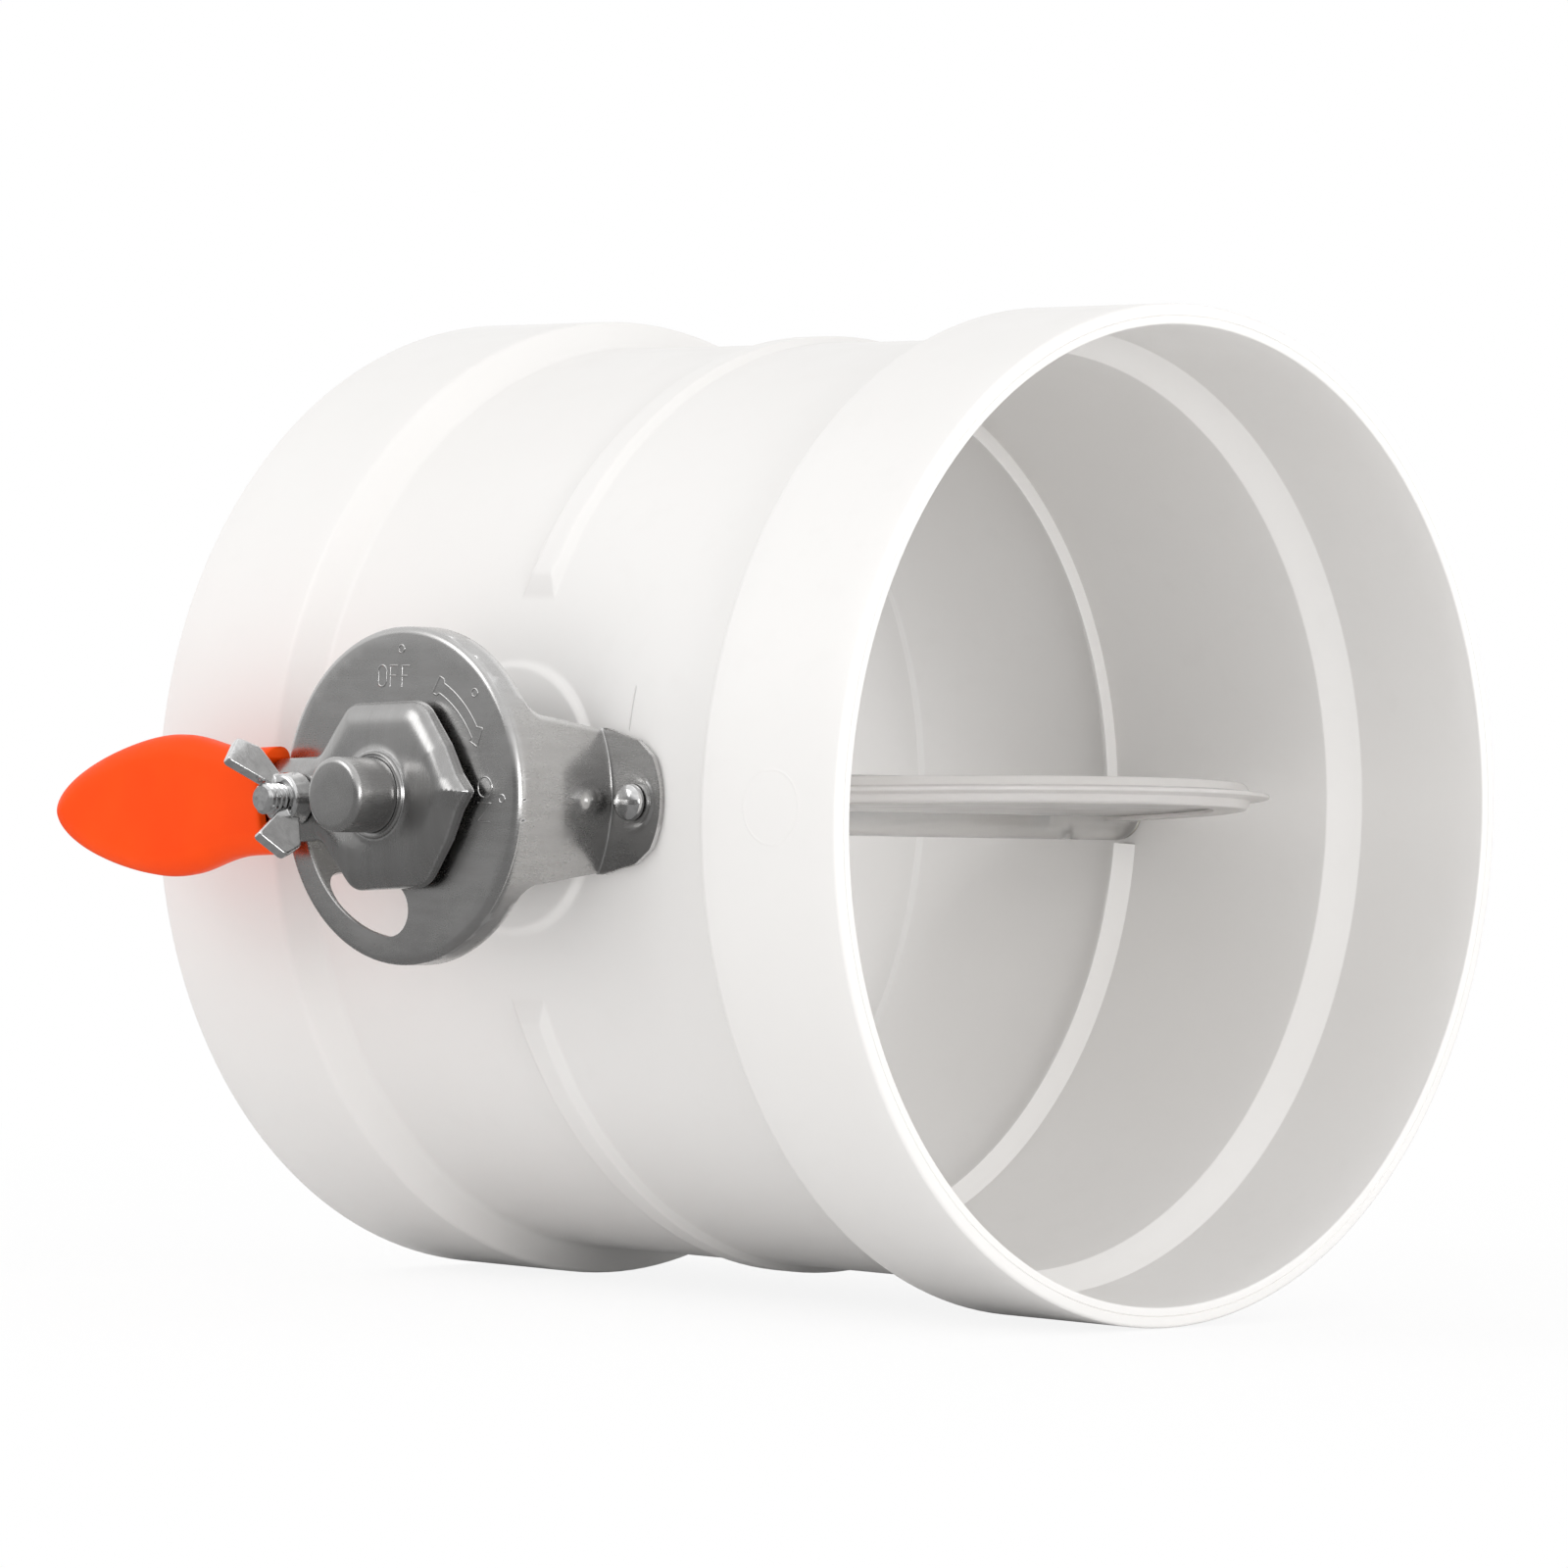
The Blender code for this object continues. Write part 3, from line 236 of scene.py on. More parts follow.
def body_marks(paint):
    """The round gate mark on the right collar and the thin weld line beside the right foot."""
    x, y, z = paint.add("SeparateXYZ", {"Vector": paint.place}).outputs
    front = paint.maths("LESS_THAN", y, 0.0)
    across = paint.maths("SUBTRACT", x, 79.7 * MM)
    squares = [paint.maths("POWER", value, 2.0) for value in (across, z)]
    reach = paint.maths("SQRT", paint.maths("ADD", *squares))
    ring = paint.maths("MULTIPLY", front, paint.near(reach, 7.2, 0.35))
    line = paint.maths("MULTIPLY", paint.near(x, 34.2, 0.30), paint.near(z, 18.35, 4.7, 4.1))
    line = paint.maths("MULTIPLY", line, front)
    return [(ring, 0.05), (line, -0.22)]


def steel(name, stretch, tone, low, high, grain):
    """Brushed stainless sheet: fine lines along the brushing, smudges, and brighter rubbed edges."""
    paint = Paint(name, Metallic=1.0)
    lines = paint.noise(0.20, stretch=stretch)
    broad = paint.noise(1.6, stretch=stretch)
    colours = [
        grey(tone * 0.95, 0.012),
        (paint.span(broad, 0.3, 0.7), grey(tone * 1.05, 0.008)),
        (paint.span(lines, 0.35, 0.7, 0.0, 0.35), grey(tone * 0.86, 0.015)),
        (paint.edges(0.54, 0.64, 0.5), grey(min(tone * 1.7, 0.9))),
        (paint.specks(7.0, 0.14, 0.30), grey(tone * 0.35)),
    ]
    smudge = paint.span(paint.noise(11.0, 4.0, twist=0.5), 0.4, 0.7, 0.0, 0.10)
    rough = paint.maths("ADD", paint.span(lines, 0.3, 0.7, low, high), smudge)
    bumps = [(lines, grain), (paint.noise(6.0, 2.0), 0.012), (paint.noise(0.5), 0.0006)]
    return paint.finish(colours, rough, bumps)


def zinc(name, grain):
    """Bright zinc plate over a casting or a thread: clean sparkle, dull pits and soft ripples."""
    paint = Paint(name, Metallic=1.0)
    cloud = paint.span(paint.noise(2.4, 4.0, twist=0.8), 0.35, 0.65)
    colours = [grey(0.60), (cloud, grey(0.74)), (paint.specks(1.1, 0.12, 0.35), grey(0.22))]
    rough = paint.span(paint.noise(0.8), 0.3, 0.7, 0.08, 0.24)
    return paint.finish(colours, rough, [(paint.noise(3.0, 2.0), 0.04), (paint.noise(0.6, 2.0), grain)])


def vinyl(name):
    """Smooth soft orange vinyl with a faint bloom, tiny blisters, a satin roughness, and a painted sheen
    that makes its rounded edges paler.
    """
    paint = Paint(name, IOR=1.48, Specular_IOR_Level=0.12)
    colours = [
        (0.95, 0.066, 0.002),
        (paint.span(paint.noise(22.0), 0.35, 0.65), (1.0, 0.080, 0.003)),
        # painted sheen: the rounded edges turn paler orange, standing in for light catching them
        (paint.edges(0.505, 0.56, 0.25), (1.0, 0.15, 0.02)),
        (paint.specks(6.0, 0.20, 0.30), (0.80, 0.05, 0.004)),
    ]
    rough = paint.span(paint.noise(9.0, 4.0, twist=0.4), 0.3, 0.7, 0.38, 0.52)
    blisters = paint.specks(8.0, 0.55, 0.35)
    bumps = [(paint.noise(7.0, 2.0), 0.06), (blisters, 0.03), (paint.noise(0.5, 2.0), 0.004)]
    return paint.finish(colours, rough, bumps)


def translucent(name, colour, second, low, high, transmission):
    """Milky moulded plastic or seal: light passes into it, with flow lines and fine handling marks."""
    paint = Paint(name, IOR=1.18, Transmission_Weight=transmission)
    flow = paint.span(paint.noise(16.0, 3.0, (1.0, 0.4, 1.0), 0.5), 0.35, 0.65)
    colours = [colour, (flow, second), (paint.specks(17.0, 0.20, 0.30), (0.70, 0.68, 0.66))]
    rough = paint.span(paint.noise(9.0, 3.0, (1.0, 0.6, 1.0)), 0.3, 0.7, low, high)
    return paint.finish(colours, rough, [(paint.noise(8.0, 2.0), 0.03), (paint.noise(0.6, 2.0), 0.001)])


def soft_matt(name, colour, second, low, high, grain):
    """Nylon or rubber: even colour with a cloud, rubbed edges and a fine grain."""
    paint = Paint(name, IOR=1.5)
    rubbed = tuple(min(1.0, value * 1.3) for value in second)
    cloud = paint.span(paint.noise(5.0), 0.35, 0.65)
    colours = [colour, (cloud, second), (paint.edges(0.52, 0.60, 0.4), rubbed)]
    rough = paint.span(paint.noise(1.5), 0.3, 0.7, low, high)
    return paint.finish(colours, rough, [(paint.noise(0.3), grain)])


BODY_WHITE = white_plastic("body_white", True)
CAP_WHITE = white_plastic("cap_white")
DIAL_STEEL = steel("dial_steel", (0.16, 0.16, 1.0), 0.50, 0.20, 0.28, 0.0006)
LEVER_STEEL = steel("lever_steel", (1.0, 0.06, 0.06), 0.40, 0.20, 0.28, 0.0006)
SHAFT_STEEL = steel("shaft_steel", (1.0, 0.05, 1.0), 0.45, 0.18, 0.28, 0.0008)
CAST_ZINC = zinc("cast_zinc", 0.008)
BOLT_ZINC = zinc("bolt_zinc", 0.003)
ORANGE = vinyl("orange_vinyl_painted_sheen")
BLADE_CLEAR = translucent("blade_clear", (0.96, 0.95, 0.94), (0.99, 0.98, 0.97), 0.30, 0.38, 0.90)
SEAL_CLEAR = translucent("seal_clear", (0.92, 0.90, 0.88), (0.95, 0.93, 0.92), 0.36, 0.55, 0.60)
NYLON = soft_matt("nylon_natural", (0.70, 0.67, 0.60), (0.78, 0.75, 0.68), 0.36, 0.50, 0.004)
RUBBER = soft_matt("rubber_black", (0.020, 0.020, 0.021), (0.035, 0.035, 0.036), 0.50, 0.68, 0.006)


# Shape helpers

def arc(radius, angles, centre=(0.0, 0.0)):
    """Points at some angles, in radians, round a centre."""
    return [(centre[0] + radius * math.cos(a), centre[1] + radius * math.sin(a)) for a in angles]


def fillet(before, here, after, radius, segments):
    """Points that round the corner at here."""
    here = np.array(here, float)
    back = np.array(before, float) - here
    ahead = np.array(after, float) - here
    back_length = np.linalg.norm(back)
    ahead_length = np.linalg.norm(ahead)
    back /= back_length
    ahead /= ahead_length
    angle = math.acos(max(-1.0, min(1.0, float(back @ ahead))))
    if radius <= 0.0 or angle > math.radians(179.0):
        return [tuple(here)]
    reach = min(radius / math.tan(angle / 2), 0.49 * back_length, 0.49 * ahead_length)
    radius = reach * math.tan(angle / 2)
    middle = back + ahead
    centre = here + middle / np.linalg.norm(middle) * radius / math.sin(angle / 2)
    first = here + back * reach - centre
    last = here + ahead * reach - centre
    start = math.atan2(first[1], first[0])
    turn = (math.atan2(last[1], last[0]) - start + math.pi) % (2 * math.pi) - math.pi
    return arc(radius, [start + turn * i / segments for i in range(segments + 1)], centre)


def rounded(corners, closed=True, segments=5):
    """A path through (u, v, radius) corners with each of them rounded."""
    corners = [tuple(corner) + (0.0,) * (3 - len(corner)) for corner in corners]
    path = []
    for i, corner in enumerate(corners):
        if not closed and i in (0, len(corners) - 1):
            path.append(corner[:2])
            continue
        before = corners[i - 1][:2]
        after = corners[(i + 1) % len(corners)][:2]
        path += fillet(before, corner[:2], after, corner[2], segments)
    return path


def divided(path, longest, closed=True):
    """The same path with no step longer than longest."""
    result = []
    count = len(path) if closed else len(path) - 1
    for i in range(count):
        start = np.array(path[i], float)
        end = np.array(path[(i + 1) % len(path)], float)
        steps = max(1, math.ceil(np.linalg.norm(end - start) / longest - 1e-6))
        result += [tuple(start + (end - start) * k / steps) for k in range(steps)]
    if not closed:
        result.append(tuple(path[-1]))
    return result


def graded(*bands):
    """Numbers through bands of (start, end, step), each band ending where the next starts."""
    values = []
    for start, end, step in bands:
        count = max(1, math.ceil(abs(end - start) / step - 1e-6))
        values += [start + (end - start) * i / count for i in range(count)]
    return values + [bands[-1][1]]


def circle(radius, count, centre=(0.0, 0.0)):
    return arc(radius, [2 * math.pi * i / count for i in range(count)], centre)


def mirrored(path):
    """An outline from its upper half, carried on below the axis to where it started."""
    return path + [(x, -y, *rest) for x, y, *rest in reversed(path)]


def make_object(name, points, faces, place=UPRIGHT):
    """A mesh object from points in millimetres, moved by a matrix, with its faces turned outwards."""
    points = np.asarray(points, float)
    matrix = np.array(place)
    points = (points @ matrix[:3, :3].T + matrix[:3, 3]) * MM
    mesh = bpy.data.meshes.new(name)
    mesh.from_pydata(points.tolist(), [], [tuple(int(i) for i in face) for face in faces])
    build = bmesh.new()
    build.from_mesh(mesh)
    bmesh.ops.remove_doubles(build, verts=build.verts, dist=0.0005 * MM)
    bmesh.ops.recalc_face_normals(build, faces=build.faces)
    build.to_mesh(mesh)
    build.free()
    return add_object(name, mesh)


def bake(obj):
    """Apply an object's modifiers."""
    bpy.context.view_layer.update()
    evaluated = obj.evaluated_get(bpy.context.evaluated_depsgraph_get())
    mesh = bpy.data.meshes.new_from_object(evaluated)
    obj.modifiers.clear()
    obj.data = mesh


def combine(obj, others, operation, solver="MANIFOLD"):
    """Join others to an object or cut them from it, then remove them."""
    for other in others:
        step = obj.modifiers.new("Combine", "BOOLEAN")
        assign(step, operation=operation, solver=solver, object=other)
        bake(obj)
        bpy.data.objects.remove(other, do_unlink=True)


def thicken(obj, thickness, edge):
    """Give an open skin a thickness away from its front, with its cut edges a little rounded."""
    if min(obj.data.polygons, key=lambda face: face.center.y).normal.y > 0.0:
        obj.data.flip_normals()
    solid = obj.modifiers.new("Thickness", "SOLIDIFY")
    assign(solid, thickness=thickness * MM, offset=-1.0, use_even_offset=True)
    bevel = obj.modifiers.new("Edge", "BEVEL")
    assign(bevel, width=edge * MM, segments=2, limit_method="ANGLE", angle_limit=math.radians(55.0))
    bake(obj)


def dress(obj, body, material, node=None, sharp=38.0):
    """Shade a finished piece and hand it to the frame."""
    obj.data.materials.clear()
    obj.data.materials.append(material)
    obj.data.shade_smooth()
    obj.data.set_sharp_from_angle(angle=math.radians(sharp))
    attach(obj, body)
    if node:
        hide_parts(node)


def grid_faces(start, rows, width, looped=False, closed=True):
    """Faces between rows of points, with the last row joined to the first and each row closed as asked."""
    faces = []
    for row in range(rows if looped else rows - 1):
        near = start + row * width
        far = start + (row + 1) % rows * width
        for i in range(width if closed else width - 1):
            after = (i + 1) % width
            faces.append((near + i, near + after, far + after, far + i))
    return faces


def end_faces(rows, width):
    """The first and the last row of points as faces."""
    return [tuple(range(width)), tuple(range((rows - 1) * width, rows * width))]


def turned(name, corners, place, steps=96, closed=False, segments=4, longest=math.inf, share=None):
    """A turned form about the third axis of place, from (radius, height, rounding) corners.

    share gives, for a radius, the first and the last angle of an open ring.
    """
    profile = divided(rounded(corners, closed, segments), longest, closed)
    columns = steps + 1 if share else steps
    points = []
    for column in range(columns):
        for radius, height in profile:
            first, last = share(radius) if share else (0.0, 2 * math.pi)
            angle = first + (last - first) * column / steps
            points.append((radius * math.cos(angle), radius * math.sin(angle), height))
    faces = grid_faces(0, columns, len(profile), not share, closed)
    if share:
        faces += end_faces(columns, len(profile))
    return make_object(name, points, faces, place)


def rod(radius, low, high, place, steps=64):
    """A plain rod along the third axis of place."""
    return turned("rod", [(0.0, low), (radius, low), (radius, high), (0.0, high)], place, steps)


def box(half_x, half_y, low, high, place):
    """A box round the third axis of place."""
    points = [(x, y, z) for x in (-half_x, half_x) for y in (-half_y, half_y) for z in (low, high)]
    faces = [(0, 1, 3, 2), (4, 6, 7, 5), (0, 4, 5, 1), (2, 3, 7, 6), (0, 2, 6, 4), (1, 5, 7, 3)]
    return make_object("box", points, faces, place)


def distance_to(points, path, closed=True):
    """Distance from each point to a path."""
    path = np.asarray(path, float)
    best = np.full(len(points), np.inf)
    for start, end in zip(path if closed else path[:-1], np.roll(path, -1, axis=0)):
        run = end - start
        share = np.clip(((points - start) @ run) / max(run @ run, 1e-12), 0.0, 1.0)
        gap = points - start - share[:, None] * run
        best = np.minimum(best, (gap ** 2).sum(axis=1))
    return np.sqrt(best)


def is_inside(points, loop):
    """Which points lie inside a closed outline."""
    loop = np.asarray(loop, float)
    inside = np.zeros(len(points), bool)
    for (x1, y1), (x2, y2) in zip(loop, np.roll(loop, -1, axis=0)):
        if y1 == y2:
            continue
        crosses = (points[:, 1] < y1) != (points[:, 1] < y2)
        inside ^= crosses & (points[:, 0] < x1 + (points[:, 1] - y1) * (x2 - x1) / (y2 - y1))
    return inside


def is_between(points, loops):
    """Which points lie inside the first outline and outside the others."""
    keep = is_inside(points, loops[0])
    for hole in loops[1:]:
        keep &= ~is_inside(points, hole)
    return keep


def inset_row(loop, distance, inwards):
    """Points at a distance from an outline, mitred at its corners."""
    loop = np.asarray(loop, float)
    after = np.roll(loop, -1, axis=0) - loop
    after /= np.linalg.norm(after, axis=1)[:, None]
    before = np.roll(after, 1, axis=0)
    normal_after = np.stack((-after[:, 1], after[:, 0]), axis=1)
    normal_before = np.stack((-before[:, 1], before[:, 0]), axis=1)
    middle = normal_after + normal_before
    length = np.linalg.norm(middle, axis=1)[:, None]
    half_turn = np.clip(length / 2, 0.35, 1.0)
    middle = middle / length / half_turn
    x, y = loop[:, 0], loop[:, 1]
    area = (x * np.roll(y, -1) - np.roll(x, -1) * y).sum()
    side = 1.0 if (area > 0) == inwards else -1.0
    return loop + side * distance * middle


def net(loops, rows, spacing, extra=()):
    """Triangles between an outline and its holes, with rows of points along their edges.

    Returns the points, the triangles, and for each loop the numbers of its points.
    """
    loops = [np.asarray(loop, float) for loop in loops]
    points = [point for loop in loops for point in loop]
    edges = []
    numbers = []
    start = 0
    for loop in loops:
        numbers.append(list(range(start, start + len(loop))))
        edges += [(start + i, start + (i + 1) % len(loop)) for i in range(len(loop))]
        start += len(loop)

    def clear(candidates, distance):
        candidates = candidates[is_between(candidates, loops)]
        for loop in loops:
            candidates = candidates[distance_to(candidates, loop) >= distance]
        return candidates

    for i, loop in enumerate(loops):
        for distance in rows:
            points += list(clear(inset_row(loop, distance, i == 0), distance - 0.02))
    low = loops[0].min(axis=0)
    high = loops[0].max(axis=0)
    xs = np.arange(low[0] + spacing / 3, high[0], spacing)
    ys = np.arange(low[1] + spacing / 3, high[1], spacing)
    lattice = np.array([(x + (j % 2) * spacing / 2, y) for j, y in enumerate(ys) for x in xs])
    lattice = clear(lattice, rows[-1] + spacing / 2)
    if len(extra):
        extra = clear(np.asarray(extra, float), 0.05)
        lattice = lattice[[np.min(np.hypot(*(extra - p).T)) > spacing / 2 for p in lattice]]
        points += list(extra)
    points += list(lattice)
    flat, _, triangles, sources, _, _ = delaunay_2d_cdt([Vector(p) for p in points], edges, [], 1, 1e-6)
    flat = np.array([tuple(p) for p in flat])
    place = {source: i for i, group in enumerate(sources) for source in group}
    numbers = [[place[i] for i in row] for row in numbers]
    keep = is_between(flat[np.array(triangles)].mean(axis=1), loops)
    return flat, [tuple(t) for t, kept in zip(triangles, keep) if kept], numbers


def quarter_round(distance, run, drop):
    """How far a rounded edge falls at a distance from the outline."""
    share = np.clip(1.0 - distance / run, 0.0, 1.0)
    return drop * (1.0 - np.sqrt(1.0 - share ** 2))


def edge_rows(run, count=8):
    """Distances that follow a rounded edge evenly."""
    return [run * (1.0 - math.cos(math.pi / 2 * i / count)) for i in range(1, count + 1)]


def formed(name, loops, rows, spacing, top, bottom, place, extra=()):
    """A closed form between two height functions of (points, distance to the outline)."""
    flat, triangles, numbers = net(loops, rows, spacing, extra)
    gap = distance_to(flat, loops[0])
    upper = np.column_stack((flat, top(flat, gap)))
    lower = np.column_stack((flat, bottom(flat, gap)))
    count = len(flat)
    faces = triangles + [tuple(i + count for i in reversed(triangle)) for triangle in triangles]
    for row in numbers:
        for i, here in enumerate(row):
            after = row[(i + 1) % len(row)]
            faces.append((here, after, after + count, here + count))
    return make_object(name, np.vstack((upper, lower)), faces, place)


def prism(name, corners, low, high, edge, place, segments=3):
    """A flat outline with a thickness and softened edges."""
    outline = divided(rounded(corners, True, segments), 1.5)
    return formed(
        name, [outline], edge_rows(edge, 3), 4.0,
        lambda flat, gap: high - quarter_round(gap, edge, edge),
        lambda flat, gap: low + quarter_round(gap, edge, edge),
        place,
    )


# Duct body

def ramp(value, softness):
    """0 below 0 and 1 above 1, with the two corners rounded."""
    def bend(v):
        rising = (v + softness) ** 2 / (4 * softness)
        return np.where(v < -softness, 0.0, np.where(v < softness, rising, v))
    return bend(value) - bend(value - 1.0)


def round_the_body(front, rear):
    """All angles round the body, from the quarter lists next to the dial and opposite it."""
    rear_up = [180.0 - a for a in reversed(rear)]
    rear_down = [180.0 + a for a in rear]
    front_down = [360.0 - a for a in reversed(front)]
    return front + rear_up[1:] + rear_down[1:] + front_down[1:-1]


def from_pivot(angles):
    """Degrees from the nearer of the two pivots."""
    return np.abs((angles + 90.0) % 180.0 - 90.0)


def outside_radius(x, base, angles):
    """Radius of the body's outside: middle, rib with ramped ends, pads and spot faces."""
    away = from_pivot(angles)
    across = MIDDLE_R * np.sin(np.radians(away))
    reach = np.hypot(x, across)
    pad = PAD_HEIGHT * ramp((PAD_R + 0.4 - reach) / 1.2, 0.35)
    side = ramp((4.6 - np.abs(x)) / 1.9, 0.14)
    end = ramp((away - 24.7) / 2.8, 0.08)
    rib = RIB_HEIGHT * np.minimum(side, end)
    radius = base + np.where(np.abs(x) < SHOULDER_X - 2.0, np.maximum(pad, rib), 0.0)
    share = ramp((SPOT_R + 0.05 - reach) / 0.35, 0.2)
    spot = SPOT_LEVEL / np.cos(np.radians(np.minimum(away, 30.0)))
    return np.where(away < 30.0, radius * (1.0 - share) + spot * share, radius)


def inside_radius(x, base, angles):
    """Radius of the body's inside, with the two half-ring seats that the blade closes on."""
    away = from_pivot(angles)
    upper = (angles > 0.0) & (angles < 180.0)
    depth = np.where(upper, -x, x)
    seat = np.interp(depth, [0.875, 0.9, 1.5, 4.775], [BORE_R, SEAT_R, SEAT_R, BORE_R])
    share = np.interp(away, [4.32, 4.48], [0.0, 1.0])
    return base - share * (BORE_R - seat)


def tube_rings(stations, angles, radius_at):
    """Rings of points for stations of (x, radius)."""
    angles = np.asarray(angles)
    turn = np.radians(angles)
    rings = []
    for x, base in stations:
        radius = radius_at(x, base, angles)
        ring = np.column_stack((np.full(len(angles), x), -radius * np.cos(turn), radius * np.sin(turn)))
        rings.append(ring)
    return rings


def both_ends(right):
    """A row of (x, radius) from the right end to the middle, carried on to the left end."""
    return right + [(-x, radius) for x, radius in reversed(right[:-1])]


def zipped(first, first_angles, second, second_angles):
    """Triangles between two rings with different numbers of points."""
    faces = []
    i = j = 0
    a_count = len(first_angles)
    b_count = len(second_angles)
    a_angles = [*first_angles, 360.0, math.inf]
    b_angles = [*second_angles, 360.0, math.inf]
    while i < a_count or j < b_count:
        if a_angles[i + 1] <= b_angles[j + 1]:
            faces.append((first + i % a_count, first + (i + 1) % a_count, second + j % b_count))
            i += 1
        else:
            faces.append((second + j % b_count, first + i % a_count, second + (j + 1) % b_count))
            j += 1
    return faces


def make_duct_body():
    """The moulded body as one closed skin, then its pivot and screw holes."""
    fine = [(0.0, 17.0, 0.3), (17.0, 24.2, 1.2), (24.2, 28.2, 0.33), (28.2, 90.0, 2.06)]
    plain = [(0.0, 17.0, 0.8), (17.0, 24.2, 1.8), (24.2, 28.2, 0.4), (28.2, 90.0, 2.06)]
    outer_angles = round_the_body(graded(*fine), graded(*plain))
    inner_quarter = [0.0, 1.5, 3.0, 4.32, 4.48] + graded((6.0, 90.0, 2.1))
    inner_angles = round_the_body(inner_quarter, inner_quarter)

    end = [
        (END_X, 101.3), (END_X, COLLAR_R, 1.1), (COLLAR_X, COLLAR_R, 2.2), (SHOULDER_X, MIDDLE_R, 2.6),
        (50.0, MIDDLE_R),
    ]
    right = divided(rounded(end, False, 5), 6.0, False)
    half = graded((50.0, 28.0, 2.8), (28.0, 17.5, 0.35), (17.5, 5.0, 0.6), (5.0, 0.0, 0.25))
    right += [(x, MIDDLE_R) for x in half[1:]]
    outside = both_ends(right)

    socket = [
        (END_X, 100.9), (END_X, 100.75), (END_X - 0.22, 100.6), (END_X, 100.45), (END_X, SOCKET_R, 0.45),
        (STOP_X, SOCKET_R, 0.7), (BORE_X, BORE_R, 1.0), (50.0, BORE_R),
    ]
    right = divided(rounded(socket, False, 4), 8.0, False)
    seat = [30.0, 16.0, 9.0, 6.0, 4.9, 4.775, 3.6, 2.5, 1.6, 1.5, 0.9, 0.875, 0.0]
    right += [(x, BORE_R) for x in seat]
    inside = both_ends(right)

    outer = tube_rings(outside, outer_angles, outside_radius)
    inner = tube_rings(inside, inner_angles, inside_radius)
    outer_count = len(outer_angles)
    inner_count = len(inner_angles)
    split = len(outer) * outer_count
    faces = grid_faces(0, len(outer), outer_count) + grid_faces(split, len(inner), inner_count)
    faces += zipped(0, outer_angles, split, inner_angles)
    last_outer = (len(outer) - 1) * outer_count
    last_inner = split + (len(inner) - 1) * inner_count
    faces += zipped(last_outer, outer_angles, last_inner, inner_angles)
    body = make_object("damper_body", np.vstack(outer + inner), faces)
    cutters = [rod(6.3, 80.0, 104.0, facing) for facing in (FRONT, REAR)]
    cutters += [rod(SCREW_HOLE_R, 80.0, 104.0, place, 32) for place in FOOT_SCREWS.values()]
    combine(body, cutters, "DIFFERENCE")
    dress(body, "duct", BODY_WHITE, "duct_body", 42.0)


# Pivots

def make_pivots():
    """Bushings, shaft seals, the rear cap and the two journals' small pieces."""
    flange = [
        (10.5, 100.3, 0.5), (10.5, 97.5, 0.2), (6.0, 97.5, 0.3), (6.0, 94.1, 0.3), (4.3, 94.1, 0.3),
        (4.3, 98.0), (5.8, 98.0), (5.8, 99.8), (4.3, 99.8), (4.3, 100.3, 0.3),
    ]
    for side, facing in (("front", FRONT), ("rear", REAR)):
        bushing = turned(side + "_flanged_bushing", flange, facing, 72, True, 3)
        dress(bushing, "duct", NYLON, side + "_bushing")
        seal = turned(side + "_seal_ring", circle(0.6, 14, (4.9, 98.9)), facing, 64, True)
        dress(seal, "duct", RUBBER, side + "_shaft_seal", 80.0)
    cap = [
        (0.0, 106.25), (2.4, 106.25, 0.3), (2.8, 106.6, 0.3), (13.0, 106.6, 1.4), (13.0, 98.6, 0.2),
        (12.85, 98.45, 0.1), (12.85, 97.5, 0.2), (11.2, 97.5, 0.2), (11.2, 104.8, 0.6), (0.0, 104.8),
    ]
    cap = turned("rear_cap", cap, REAR, 128, segments=5)
    dress(cap, "duct", CAP_WHITE, "rear_pivot_cap")
    pin = [
        (0.0, 103.0), (6.5, 103.0, 0.7), (6.5, 100.6, 0.2), (4.0, 100.6, 0.2), (4.0, 66.0, 0.6), (0.0, 66.0),
    ]
    pin = turned("rear_pin", pin, ROTOR @ REAR, 72)
    dress(pin, "rotor", BOLT_ZINC, "rear_pivot_pin")


# Dial bracket

LEG_TOP_HALF = 20.5
LEG_BEND = 0.35
LEG_TAPER = 1.0
LEG_FILLET = 4.0
LEG_FILLET_END = 114.5
BEND_LEVEL = 100.5
FOOT_HALF = 12.2
FOOT_CORNER = 9.2


def leg_half(level):
    """Half the leg's width at a level, with the fillet under the dial's flange."""
    above = level - LEG_FILLET_END
    if above >= 0.0:
        return LEG_TOP_HALF - math.sqrt(max(0.0, LEG_FILLET ** 2 - above ** 2))
    return LEG_TOP_HALF - LEG_FILLET + 0.14485 * above


def leg_radius(level):
    """The leg leans in a little towards its foot."""
    return DIAL_R - LEG_TAPER * float(np.interp(level, [99.0, 113.0], [1.0, 0.0]))


def foot_half(x):
    """Half the foot's width at a distance from the shaft."""
    return float(np.interp(x, [30.5, 39.1], [leg_half(BEND_LEVEL), FOOT_HALF]))


def foot_end(z):
    """How far out the foot reaches at a place across it."""
    z = abs(z)
    if z <= FOOT_CORNER:
        return 27.4 + math.sqrt(18.2 ** 2 - z ** 2)
    return 43.1 - (z - FOOT_CORNER) * 1.3


def leg_columns():
    """Shares of the half width, close together round the bump and the screw's ring."""
    half = graded((0.0, 6.8, 0.34), (6.8, LEG_TOP_HALF, 1.0))
    half = [value / LEG_TOP_HALF for value in half]
    return [-value for value in reversed(half[1:])] + half


def leg_bump(z, level):
    """The small pressed bump on the leg, with its flat crown."""
    reach = math.hypot(z, level - 105.2)
    return 0.75 * math.exp(-(reach / 1.7) ** 2.6)


def screw_ring(x, z):
    """The pressed arc on the foot, round the outer side of its screw."""
    reach = math.hypot(x - SCREW_X, z)
    share = min(1.0, max(0.0, 0.35 + (x - SCREW_X) / 6.0))
    return 0.30 * share * math.exp(-((reach - 5.35) / 0.42) ** 2)


